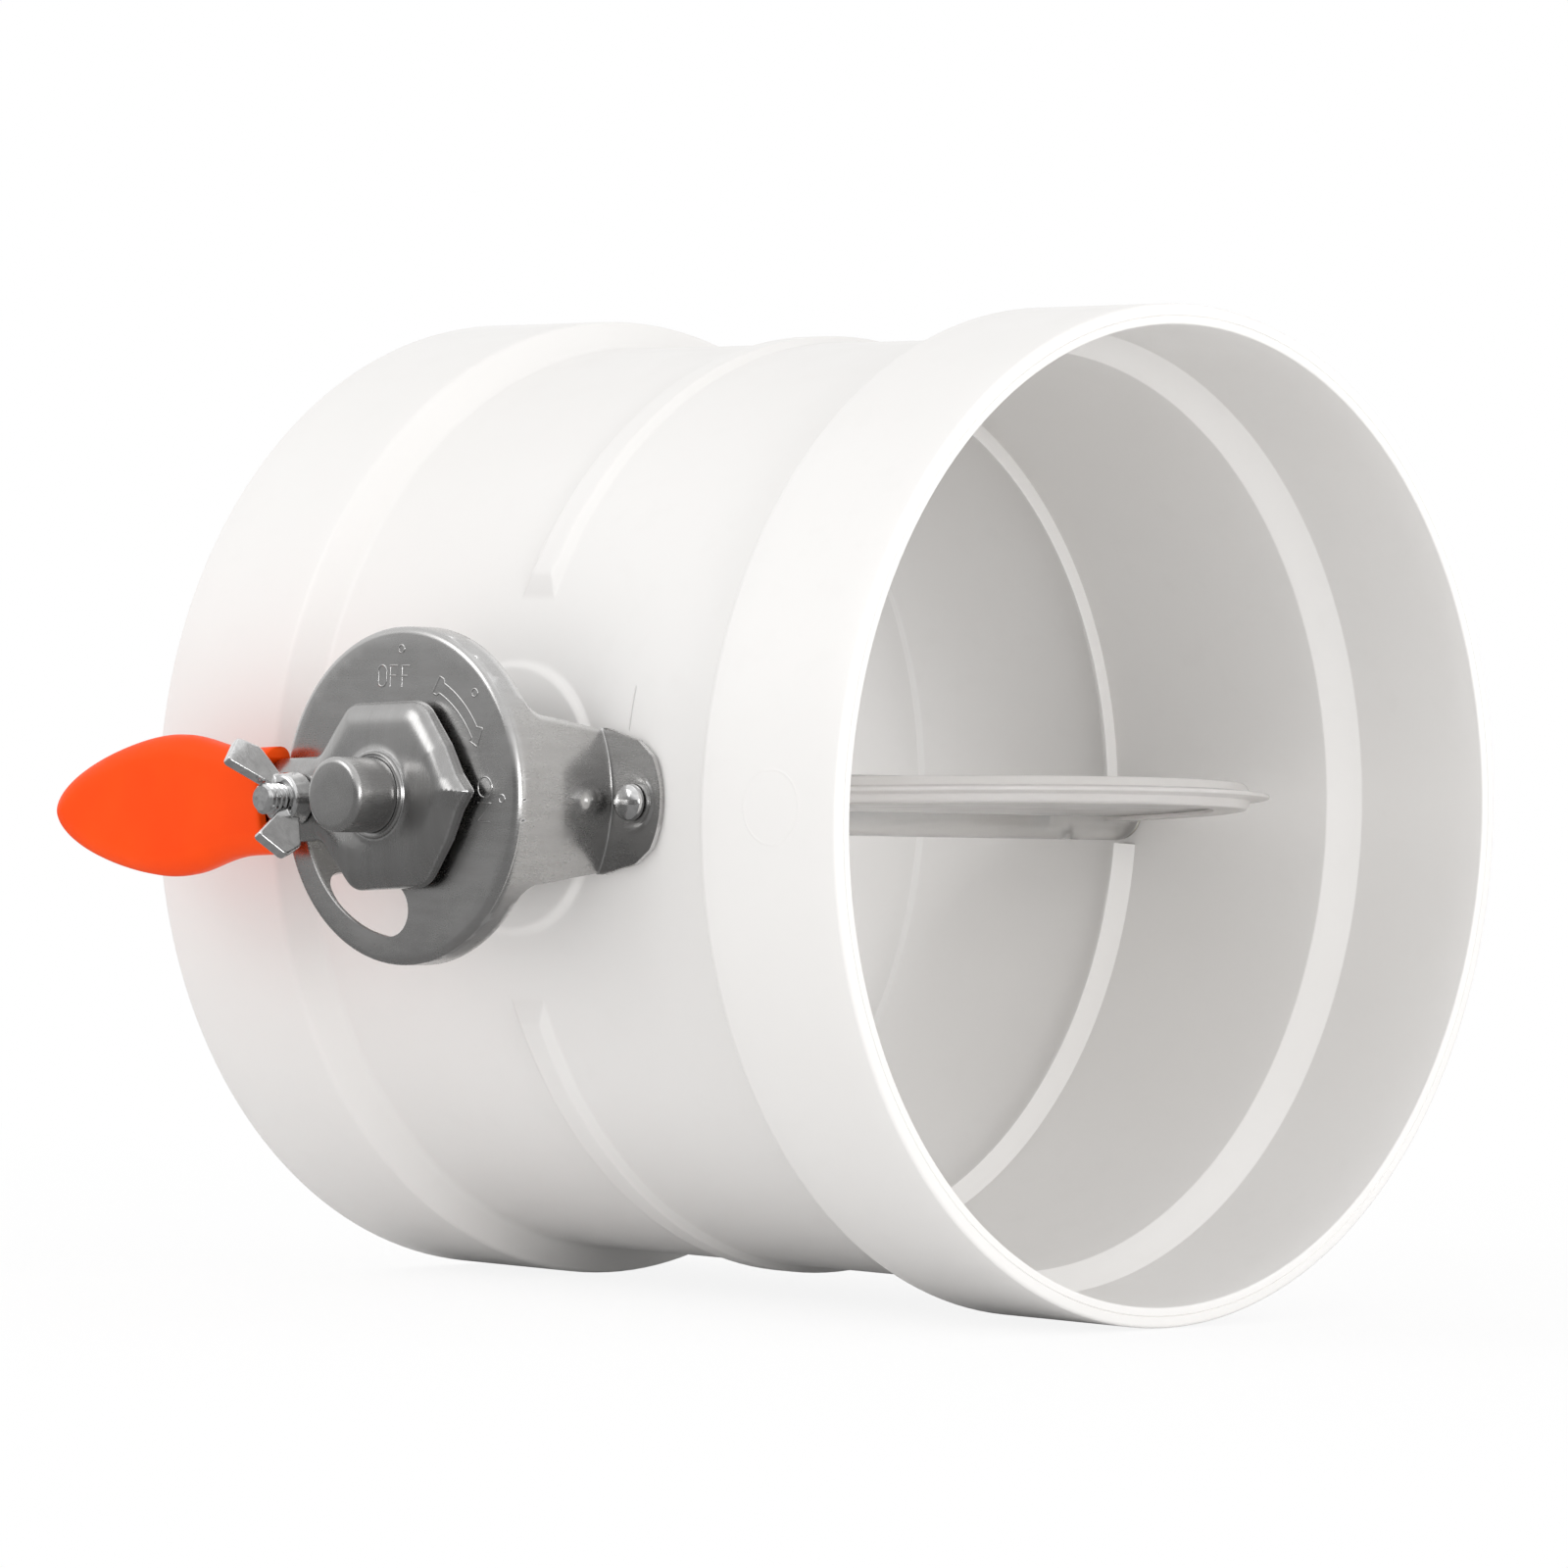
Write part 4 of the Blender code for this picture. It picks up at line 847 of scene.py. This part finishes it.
def leg_point(share, level):
    """A point on the leg, at a share of its half width."""
    z = share * leg_half(level)
    radius = leg_radius(level) + leg_bump(z, level)
    return math.sqrt(radius ** 2 - z ** 2), -level, z


def bend_point(share, angle):
    """A point in the bend, which turns from 180 degrees at the leg to 270 at the foot."""
    z = share * leg_half(BEND_LEVEL)
    leg_x = math.sqrt(leg_radius(FOOT_TOP) ** 2 - z ** 2)
    level = FOOT_TOP + LEG_BEND * (1.0 + math.sin(math.radians(angle)))
    return leg_x + LEG_BEND * (1.0 + math.cos(math.radians(angle))), -level, z


def foot_point(share, way):
    """A point on the foot, a share of the way from the bend to its outer end."""
    start = bend_point(share, 270.0)[0]
    x = start + (foot_end(share * FOOT_HALF) - start) * way
    z = share * foot_half(x)
    return x, -(FOOT_TOP + screw_ring(x, z)), z


def leg_and_foot(side):
    """Rows of points from under the flange down the leg, round the bend and along the foot."""
    columns = leg_columns()
    angles = [math.radians(a) for a in (90, 78, 66, 54, 42, 30, 20, 10)]
    levels = [LEG_FILLET_END + LEG_FILLET * math.sin(a) for a in angles]
    levels += graded((LEG_FILLET_END, 109.0, 1.1), (109.0, 99.1, 0.34))
    rows = [[leg_point(share, level) for share in columns] for level in levels]
    rows += [[bend_point(share, 180.0 + 90.0 * i / 7) for share in columns] for i in range(1, 8)]
    rows += [[foot_point(share, i / 36) for share in columns] for i in range(1, 37)]
    return [[(side * x, y, z) for x, y, z in row] for row in rows]


def slot_loop():
    """The lock bolt's curved slot in the dial."""
    half = 5.3
    first = math.radians(184.66)
    last = math.radians(265.34)

    def cap(angle, start):
        centre = arc(-BOLT_X, [angle])[0]
        return arc(half, [start + math.pi * i / 18 for i in range(18)], centre)

    outer = arc(half - BOLT_X, np.linspace(first, last, 56))
    inner = arc(-BOLT_X - half, np.linspace(last, first, 36))
    return outer[:-1] + cap(last, last) + inner[:-1] + cap(first, first + math.pi)


def dial_level(z):
    """Level of the dial's face, which is crowned a little across the duct."""
    return DIAL_FACE - DIAL_CROWN * (z / DIAL_R) ** 2


def make_dial_bracket():
    """One pressed skin: dial face with a rolled edge, flange, two legs and two feet; then its thickness."""
    columns = leg_columns()
    leg_angles = [math.degrees(math.asin(share * LEG_TOP_HALF / DIAL_R)) for share in columns]
    top = graded((leg_angles[-1], 180.0 - leg_angles[-1], 1.8))
    left = [180.0 - angle for angle in reversed(leg_angles)]
    bottom = graded((left[-1], 360.0 + leg_angles[0], 1.8))
    angles = leg_angles + top[1:-1] + left + bottom[1:-1]
    rim = arc(DIAL_R, [math.radians(a) for a in angles])
    flat, triangles, _ = net([rim, slot_loop(), circle(4.3, 48)], edge_rows(DIAL_EDGE, 7), 2.2)
    level = dial_level(flat[:, 1]) - quarter_round(distance_to(flat, rim), DIAL_EDGE, DIAL_EDGE)
    points = [(x, -s, z) for (x, z), s in zip(flat, level)]
    faces = triangles + grid_faces(len(points), 5, len(rim))
    points += [(x, DIAL_EDGE - dial_level(z), z) for x, z in rim]
    for s in (122.5, 121.0, 119.7, FLANGE_END):
        points += [(x, -s, z) for x, z in rim]
    for side in (1.0, -1.0):
        rows = leg_and_foot(side)
        faces += grid_faces(len(points), len(rows), len(rows[0]), closed=False)
        points += [point for row in rows for point in row]
    bracket = make_object("dial_and_legs", points, faces)
    thicken(bracket, SHEET, 0.22)
    holes = [rod(SCREW_HOLE_R, 90.0, 104.0, place, 32) for place in FOOT_SCREWS.values()]
    combine(bracket, holes, "DIFFERENCE", "EXACT")
    dress(bracket, "duct", DIAL_STEEL, "dial_bracket", 45.0)


# Marks on the dial

def stroke(path, width, height, closed):
    """Points and faces of a low half-round ridge along a path on the dial's face."""
    path = np.asarray(path, float)
    if closed:
        run = np.roll(path, -1, axis=0) - np.roll(path, 1, axis=0)
    else:
        run = np.gradient(path, axis=0)
    run /= np.linalg.norm(run, axis=1)[:, None]
    across = np.stack((-run[:, 1], run[:, 0]), axis=1)
    section = [(math.cos(math.pi * i / 6), math.sin(math.pi * i / 6)) for i in range(7)]
    points = []
    for place, side in zip(path, across):
        for u, v in section:
            x, z = place + side * width / 2 * u
            points.append((x, z, dial_level(z) - 0.05 + (height + 0.05) * v))
    faces = grid_faces(0, len(path), len(section), closed)
    if not closed:
        faces += end_faces(len(path), len(section))
    return points, faces


def letter_strokes(letter, width, height):
    """A letter as paths in a box of that width and height, with whether they are closed."""
    corner = width * 0.49
    middle = height * 0.52
    paths = {
        "O": [[(0, 0, corner), (width, 0, corner), (width, height, corner), (0, height, corner)]],
        "F": [[(width, height), (0, height), (0, 0)], [(0, middle), (width * 0.8, middle)]],
        "N": [[(0, 0), (0, height), (width, 0), (width, height)]],
    }
    closed = letter == "O"
    return [(divided(rounded(path, closed), 0.5, closed), closed) for path in paths[letter]]


def polar_path(radius, start, end, step=1.0):
    count = max(1, math.ceil(abs(end - start) / step))
    return arc(radius, [math.radians(start + (end - start) * i / count) for i in range(count + 1)])


def make_dial_marks():
    """Raised OFF and ON, three small rings and the hollow turning arrow."""
    paths = []
    for i, letter in enumerate("OFF"):
        for path, closed in letter_strokes(letter, 2.3, 4.2):
            paths.append(([(-6.9 + 3.35 * i + x, 21.5 + y) for x, y in path], 0.14, closed))
    for letter, width, start in (("O", 4.05, 4.25), ("N", 3.6, -0.9)):
        for path, closed in letter_strokes(letter, width, 3.8):
            paths.append(([(22.4 + y, start - x) for x, y in path], 0.20, closed))
    for centre in ((-0.5, 29.0), (20.6, 20.6), (29.1, 0.1)):
        paths.append((circle(0.78, 20, centre), 0.16, True))
    arrow = polar_path(25.6, 67.6, 64.6) + polar_path(24.9, 63.8, 34.0)
    arrow += [(22.2, 13.7), (20.9, 10.0), (18.6, 11.2)]
    arrow += polar_path(22.6, 31.5, 64.6) + polar_path(21.9, 65.8, 69.0)
    paths.append((divided([(x + 0.94, z) for x, z in arrow], 0.5), 0.12, True))
    points = []
    faces = []
    for path, height, closed in paths:
        more, sides = stroke(path, 0.42, height, closed)
        faces += [tuple(i + len(points) for i in face) for face in sides]
        points += more
    marks = make_object("dial_marks", points, faces, FRONT)
    dress(marks, "duct", DIAL_STEEL, None, 60.0)


def make_foot_screws():
    """Slotted pan-head screws, their slots lying along the duct."""
    profile = [
        (0.0, 101.3), (1.2, 101.24), (2.2, 100.98), (3.0, 100.5), (3.5, 99.9, 0.5), (3.7, 99.3, 0.4),
        (3.7, 98.7, 0.15), (1.9, 98.7), (1.9, 95.2, 0.5), (0.0, 94.6),
    ]
    for side, place in FOOT_SCREWS.items():
        screw = turned(side + "_pan_screw", profile, place, 64, segments=3)
        combine(screw, [box(6.0, 0.5, 100.2, 104.0, place)], "DIFFERENCE")
        dress(screw, "duct", BOLT_ZINC, side + "_foot_screw", 30.0)


# Blade and seal

def make_blade():
    """Milky disc with the hub tube that runs across it, its two shaft sockets and two screw holes."""
    edge = [(0.0, 1.6), (85.6, 1.6, 0.7), (85.6, -1.6, 0.7), (0.0, -1.6)]
    blade = turned("blade_disc", edge, ROTOR, 240, segments=5, longest=12.0)
    hub = [(0.0, 93.476), (6.5, 93.476, 0.5), (6.5, -93.476, 0.5), (0.0, -93.476)]
    combine(blade, [turned("hub", hub, SHAFT, longest=12.0)], "UNION")
    half = SQUARE_HALF + 0.3
    cutters = [box(half, half, 59.676, 96.0, SHAFT), rod(4.3, 65.676, 96.0, ROTOR @ REAR)]
    cutters += [rod(1.8, 1.4, 13.0, place, 32) for place in HUB_SCREWS.values()]
    combine(blade, cutters, "DIFFERENCE")
    dress(blade, "rotor", BLADE_CLEAR, "blade", 35.0)


def make_seals():
    """Two half rings of soft seal, clipped over the disc's edge, with a thin lip outwards."""
    profile = [
        (80.5, 2.7, 0.25), (87.4, 2.7, 0.7), (88.4, 0.9, 0.5), (92.4, 0.4, 0.35), (92.4, -0.4, 0.35),
        (88.4, -0.9, 0.5), (87.4, -2.7, 0.7), (80.5, -2.7, 0.25), (80.5, -1.9, 0.2), (85.9, -1.9),
        (85.9, 1.9), (80.5, 1.9, 0.2),
    ]
    for side, middle in (("right", 0.0), ("left", math.pi)):
        def share(radius, middle=middle):
            reach = math.acos(7.1 / radius)
            return middle - reach, middle + reach
        seal = turned(side + "_half_seal", profile, ROTOR, 130, True, 3, share=share)
        dress(seal, "rotor", SEAL_CLEAR, "blade_seal_" + side)


def make_hub_screws():
    """Slotted set screws in the hub: the front one on the shaft's square and the rear one on the pin."""
    for side, depth in (("front", 3.13), ("rear", 4.3)):
        profile = [(0.0, 6.5), (1.5, 6.5, 0.2), (1.5, depth, 0.3), (0.0, depth)]
        place = HUB_SCREWS[side]
        screw = turned(side + "_hub_screw_slotted", profile, place, 40, segments=3)
        combine(screw, [box(0.25, 3.0, 5.75, 8.0, place)], "DIFFERENCE")
        dress(screw, "rotor", BOLT_ZINC, side + "_hub_screw", 30.0)


# Shaft and its rings

def make_shaft():
    """Turned shaft: large round head, ring groove, journal, and square places for the lever and the hub."""
    profile = [
        (0.0, HEAD_TOP), (7.4, HEAD_TOP, 1.3), (7.4, 132.3, 0.3), (4.0, 132.3), (4.0, 124.4), (3.1, 124.4),
        (3.1, 122.8), (4.0, 122.8), (4.0, 93.776, 0.2), (0.0, 93.776),
    ]
    shaft = turned("turned_shaft", profile, SHAFT, 128, segments=8, longest=4.0)
    square = box(4.2, 4.2, 130.5, 132.6, SHAFT)
    tail = box(SQUARE_HALF, SQUARE_HALF, 59.976, 94.076, SHAFT)
    combine(shaft, [square, tail], "UNION")
    dress(shaft, "rotor", SHAFT_STEEL, "drive_shaft", 32.0)

    def mouth(radius):
        gap = math.asin(2.3 / radius)
        return -math.pi / 2 + gap, 1.5 * math.pi - gap

    section = [(7.5, 124.1, 0.2), (7.5, 123.1, 0.2), (3.4, 123.1, 0.2), (3.4, 124.1, 0.2)]
    snap = turned("snap_ring", section, SHAFT, 80, True, 2, share=mouth)
    dress(snap, "rotor", SHAFT_STEEL, "shaft_retaining_ring")


def make_rings():
    """The lever's bearing washer, and the lock bolt's spacer and washer."""
    rings = (
        ("lever_spacer", 4.3, 8.0, SPACER_LOW, SPACER_HIGH, 0.5, SHAFT, NYLON, "nylon"),
        ("lock_bolt_spacer", 3.45, 5.8, SPACER_LOW, SPACER_HIGH, 0.4, BOLT, NYLON, "nylon"),
        ("lock_bolt_washer", 3.45, 7.8, 122.7, 124.1, 0.3, BOLT, BOLT_ZINC, "bright_zinc"),
    )
    for node, inner, outer, low, high, edge, place, material, slot in rings:
        corners = [(outer, high, edge), (outer, low, edge), (inner, low, edge / 2), (inner, high, edge / 2)]
        ring = turned(node + "_ring", corners, place, 80, True)
        dress(ring, "rotor", material, node)


# Lever

def lever_outline():
    """Pointer, wide pan, neck, and the tang inside the grip."""
    upper = [
        (23.3, 0.0, 0.7), (20.3, 3.6, 3.5), (17.3, 9.3, 6.0), (10.4, 18.4, 6.5), (-9.9, 18.6, 4.0),
        (-18.0, 8.4, 4.0), (-30.3, 8.4, 1.5), (-32.7, 6.0, 1.5), (-69.3, 6.0, 5.9),
    ]
    return divided(rounded(mirrored(upper)[:-1], True, 7), 0.8)


LEVER_RUN = 4.6
LEVER_DROP = 3.2


def lever_top(flat, gap):
    """Level of the lever's face: soft edges, and the drawn collar round the shaft's head."""
    reach = np.hypot(flat[:, 0], flat[:, 1])
    bead = np.where(reach < 8.1, reach > 7.47, np.clip(1.0 - ((reach - 8.1) / 0.55) ** 2, 0.0, 1.0))
    foot = 0.25 * np.exp(-((reach - 8.8) / 0.6) ** 2)
    crown = 0.9 * (flat[:, 1] / 18.4) ** 2
    return LEVER_FACE - crown - quarter_round(gap, LEVER_RUN, LEVER_DROP) + 0.95 * np.sqrt(bead) + foot


def make_lever():
    """Pressed pan with very soft edges, a pointer, and a drawn collar round the shaft."""
    outline = lever_outline()
    hole = circle(3.45, 48, (BOLT_X, 0.0))
    radii = [7.1, 7.44, 7.5, 7.8, 8.0, 8.15, 8.3, 8.42, 8.53, 8.6, 8.64, 8.7, 8.9, 9.2, 9.7, 10.3]
    extra = [point for radius in radii for point in circle(radius, 110)]
    extra += [(x, 0.0) for x in np.arange(19.0, 23.4, 0.3)]
    flat, triangles, _ = net([outline, hole], edge_rows(LEVER_RUN), 1.4, extra)
    levels = lever_top(flat, distance_to(flat, outline))
    points = [(x, z, level) for (x, z), level in zip(flat, levels)]
    faces = triangles + grid_faces(len(points), 4, len(outline))
    edge = lever_top(np.array(outline), np.zeros(len(outline)))
    for row in range(4):
        points += [(x, z, s + (LEVER_RIM - s) * row / 3) for (x, z), s in zip(outline, edge)]
    lever = make_object("pressed_lever", points, faces, SHAFT)
    thicken(lever, LEVER_SHEET, 0.25)
    dress(lever, "rotor", LEVER_STEEL, "lever", 50.0)


def bezier(*corners, steps):
    """Points along a curve from the first to the last of four corners."""
    points = []
    for i in range(steps + 1):
        t = i / steps
        weights = ((1 - t) ** 3, 3 * t * (1 - t) ** 2, 3 * t ** 2 * (1 - t), t ** 3)
        points.append(tuple(sum(w * c[k] for w, c in zip(weights, corners)) for k in (0, 1)))
    return points


def grip_outlines():
    """The grip's leaf outline with its hollowed end, and that end's arc alone."""
    end = -31.5
    half = 10.8
    depth = 1.9
    scoop_r = (half ** 2 + depth ** 2) / (2 * depth)
    limit = math.asin(half / scoop_r)
    scoop = arc(scoop_r, np.linspace(math.pi + limit, math.pi - limit, 30), (scoop_r + end, 0.0))
    swell = bezier((-36.3, half), (-47.3, half), (-49.5, 14.4), (-60.5, 14.4), steps=34)
    closing = bezier((-60.5, 14.4), (-70.0, 14.4), (-95.2, 8.3), (-95.2, 0.0), steps=60)
    upper = divided([(depth + end, half), (-36.3, half)], 0.8, False)[:-1] + swell[:-1] + closing
    lower = [(x, -y) for x, y in reversed(upper[:-1])]
    return scoop[:-1] + upper + lower[:-1], scoop


def make_grip():
    """Soft pillow-shaped grip with full round sides, hollowed at the lock bolt."""
    outline, scoop = grip_outlines()
    sides = outline[len(scoop) - 1:]

    def fall(flat, side, front):
        """How far the rounded sides and the hollowed end fall, each from its (run, drop)."""
        fallen = quarter_round(distance_to(flat, sides, False), *side)
        return fallen + quarter_round(distance_to(flat, scoop, False), *front)

    grip = formed(
        "vinyl_grip", [outline], [0.12, 0.3, 0.55, 0.9, 1.35, 1.9, 2.5, 3.2, 3.9, 4.6], 1.6,
        lambda flat, gap: GRIP_TOP - fall(flat, (4.6, 4.1), (0.9, 0.8)),
        lambda flat, gap: GRIP_BACK + fall(flat, (3.4, 3.4), (0.6, 0.5)),
        SHAFT,
    )
    tang = [(-20.0, 8.7), (-30.2, 8.7), (-32.9, 6.3), (-66.0, 6.3), (-69.6, 3.0)]
    combine(grip, [prism("space", mirrored(tang), 126.8, 132.3, 0.3, SHAFT)], "DIFFERENCE")
    dress(grip, "rotor", ORANGE, "grip", 50.0)


# Lock bolt and wing nut

def make_lock_bolt():
    """Hexagon-head bolt with a real coarse thread."""
    pitch = 1.27
    root_r = 2.32
    thread_depth = 0.83
    shank_r = 3.12
    shank_end = 124.6
    columns = 60
    levels = np.arange(120.5, BOLT_END + 1e-6, 0.095)
    turn = 2 * np.pi * np.arange(columns) / columns
    points = []
    for level in levels:
        phase = (level / pitch - turn / (2 * math.pi)) % 1.0
        wave = np.clip(np.abs(2.0 * phase - 1.0) * 1.35 - 0.12, 0.0, 1.0)
        radius = root_r + thread_depth * wave
        radius = np.minimum(radius, 2.45 + (BOLT_END - level) * 1.1)
        if level < shank_end:
            radius = np.full(columns, shank_r)
        points += [(r * math.cos(t), r * math.sin(t), level) for r, t in zip(radius, turn)]
    faces = grid_faces(0, len(levels), columns) + end_faces(len(levels), columns)
    bolt = make_object("threaded_bolt", points, faces, BOLT)
    hexagon = [(x, y, 0.25) for x, y in circle(5.7735, 6)]
    head = prism("head", hexagon, 118.8, 122.4, 0.4, BOLT)
    combine(bolt, [head], "UNION")
    dress(bolt, "rotor", BOLT_ZINC, "lock_bolt", 40.0)


def make_wing_nut():
    """Cast nut: tapered hub and two upswept wings, melted together like a casting."""
    hub = [(0.0, NUT_LOW), (5.6, NUT_LOW, 0.3), (4.95, NUT_TOP, 0.8), (0.0, NUT_TOP)]
    nut = turned("cast_wing_nut", hub, BOLT)
    outline = [
        (2.6, 1.0, 0.4), (6.2, 2.4, 1.5), (11.6, 4.5, 2.0), (13.8, 9.6, 1.3), (8.6, 14.7, 0.9),
        (3.6, 7.0, 1.6), (2.6, 4.0, 0.4),
    ]
    outline = [(x, NUT_LOW + rise, radius) for x, rise, radius in outline]
    wings = []
    for angle in (120.0, 300.0):
        facing = BOLT @ Matrix.Rotation(math.radians(angle), 4, "Z") @ FRONT
        wings.append(prism("wing", outline, -1.1, 1.1, 0.35, facing, 5))
    combine(nut, wings, "UNION")
    assign(nut.modifiers.new("Melt", "REMESH"), mode="VOXEL", voxel_size=0.17 * MM)
    bake(nut)
    assign(nut.modifiers.new("Soften", "SMOOTH"), factor=0.5, iterations=4)
    bake(nut)
    combine(nut, [rod(3.3, NUT_LOW - 2.0, NUT_TOP + 4.0, BOLT)], "DIFFERENCE")
    dress(nut, "wing_nut", CAST_ZINC, "wing_nut", 60.0)


# Stage, light and camera

def make_stage():
    """A plain pale floor that keeps the object's shadow and looks dim in the metal."""
    size = 6000.0
    level = -COLLAR_R - 0.2
    corners = [(-size, -size, level), (size, -size, level), (size, size, level), (-size, size, level)]
    floor = make_object("floor", corners, [(0, 1, 2, 3)])
    paint = Paint("floor_paint", Base_Color=grey(0.97), Roughness=0.9, Specular_IOR_Level=0.0)
    rays = paint.add("LightPath").outputs
    reach = paint.add("VectorMath", {0: paint.place}, operation="LENGTH").outputs["Value"]
    seen = paint.maths("MULTIPLY", paint.span(reach, 0.15, 0.60, 0.88, 1.0), rays["Is Camera Ray"])
    glow = paint.add("Emission", {"Color": grey(1.0)}).outputs[0]
    dim = paint.add("Emission", {"Color": grey(0.18)}).outputs[0]
    pale = paint.shades(seen, paint.shader.outputs[0], glow)
    mirrored_floor = paint.shades(paint.maths("MULTIPLY", rays["Is Glossy Ray"], 0.88), pale, dim)
    paint.feed(paint.tree.nodes["Material Output"].inputs["Surface"], mirrored_floor)
    floor.data.materials.append(paint.material)


def make_world(strength):
    """Pale light all round, and plain white where the camera sees it; metal sees it darker to the front."""
    world = bpy.data.worlds.new("studio")
    bpy.context.scene.world = world
    world.use_nodes = True
    world.node_tree.nodes.clear()
    sky = Nodes(world.node_tree)
    rays = sky.add("LightPath").outputs
    direction = sky.coordinates["Generated"]
    height = sky.add("SeparateXYZ", {0: direction}).outputs[2]
    light = {"Color": sky.span(height, 0.0, 0.9, 1.0, 0.80), "Strength": strength}
    plain = sky.add("Background", light).outputs[0]
    inputs = {0: direction, 1: (0.0, -0.80, -0.75)}
    front = sky.add("VectorMath", inputs, operation="DOT_PRODUCT").outputs["Value"]
    shade = sky.maths("MAXIMUM", sky.span(front, 0.25, 0.65, 1.0, 0.20), rays["Is Camera Ray"])
    seen = sky.add("Background", {"Color": shade, "Strength": 1.0}).outputs[0]
    either = sky.maths("MAXIMUM", rays["Is Camera Ray"], rays["Is Glossy Ray"])
    both = sky.maths("MAXIMUM", either, rays["Is Transmission Ray"])
    output = sky.add("OutputWorld")
    sky.feed(output.inputs["Surface"], sky.shades(both, plain, seen))


def add_lamp(name, place, width, height, power):
    """A soft rectangular lamp that faces the middle of the damper."""
    light = bpy.data.lights.new(name, "AREA")
    lamp = add_object(name, assign(light, shape="RECTANGLE", size=width, size_y=height, energy=power))
    lamp.location = place
    lamp.rotation_euler = (-Vector(place)).to_track_quat("-Z", "Y").to_euler()


def make_camera():
    """The photograph's camera, found from the circles of the body, the dial and the shaft's head."""
    azimuth = math.radians(43.203)
    elevation = math.radians(1.867)
    tilt = Matrix.Rotation(math.radians(2.3), 4, "X")
    flat = math.cos(elevation)
    right = Vector((math.cos(azimuth), math.sin(azimuth), 0.0))
    back = Vector((math.sin(azimuth) * flat, -math.cos(azimuth) * flat, math.sin(elevation)))
    turn = Matrix((right, back.cross(right), back)).transposed().to_4x4()
    data = bpy.data.cameras.new("photo_camera")
    assign(data, lens=157.39, sensor_width=36.0, sensor_fit="HORIZONTAL", clip_start=0.05, clip_end=60.0)
    camera = add_object("photo_camera", data)
    camera.matrix_world = Matrix.Translation((0.9812, -1.0602, 0.00887)) @ tilt @ turn
    bpy.context.scene.camera = camera


make_duct_body()
make_pivots()
make_dial_bracket()
make_dial_marks()
make_foot_screws()
make_blade()
make_seals()
make_hub_screws()
make_shaft()
make_rings()
make_lever()
make_grip()
make_lock_bolt()
make_wing_nut()

make_stage()
make_world(0.96)
add_lamp("key", (-0.7, -1.7, 1.3), 1.2, 1.2, 9.0)
add_lamp("fill", (2.1, -0.35, 0.15), 1.4, 1.0, 21.0)
add_lamp("top", (0.1, 0.2, 2.0), 1.6, 1.6, 2.0)
make_camera()
bpy.context.scene.view_settings.view_transform = "Standard"
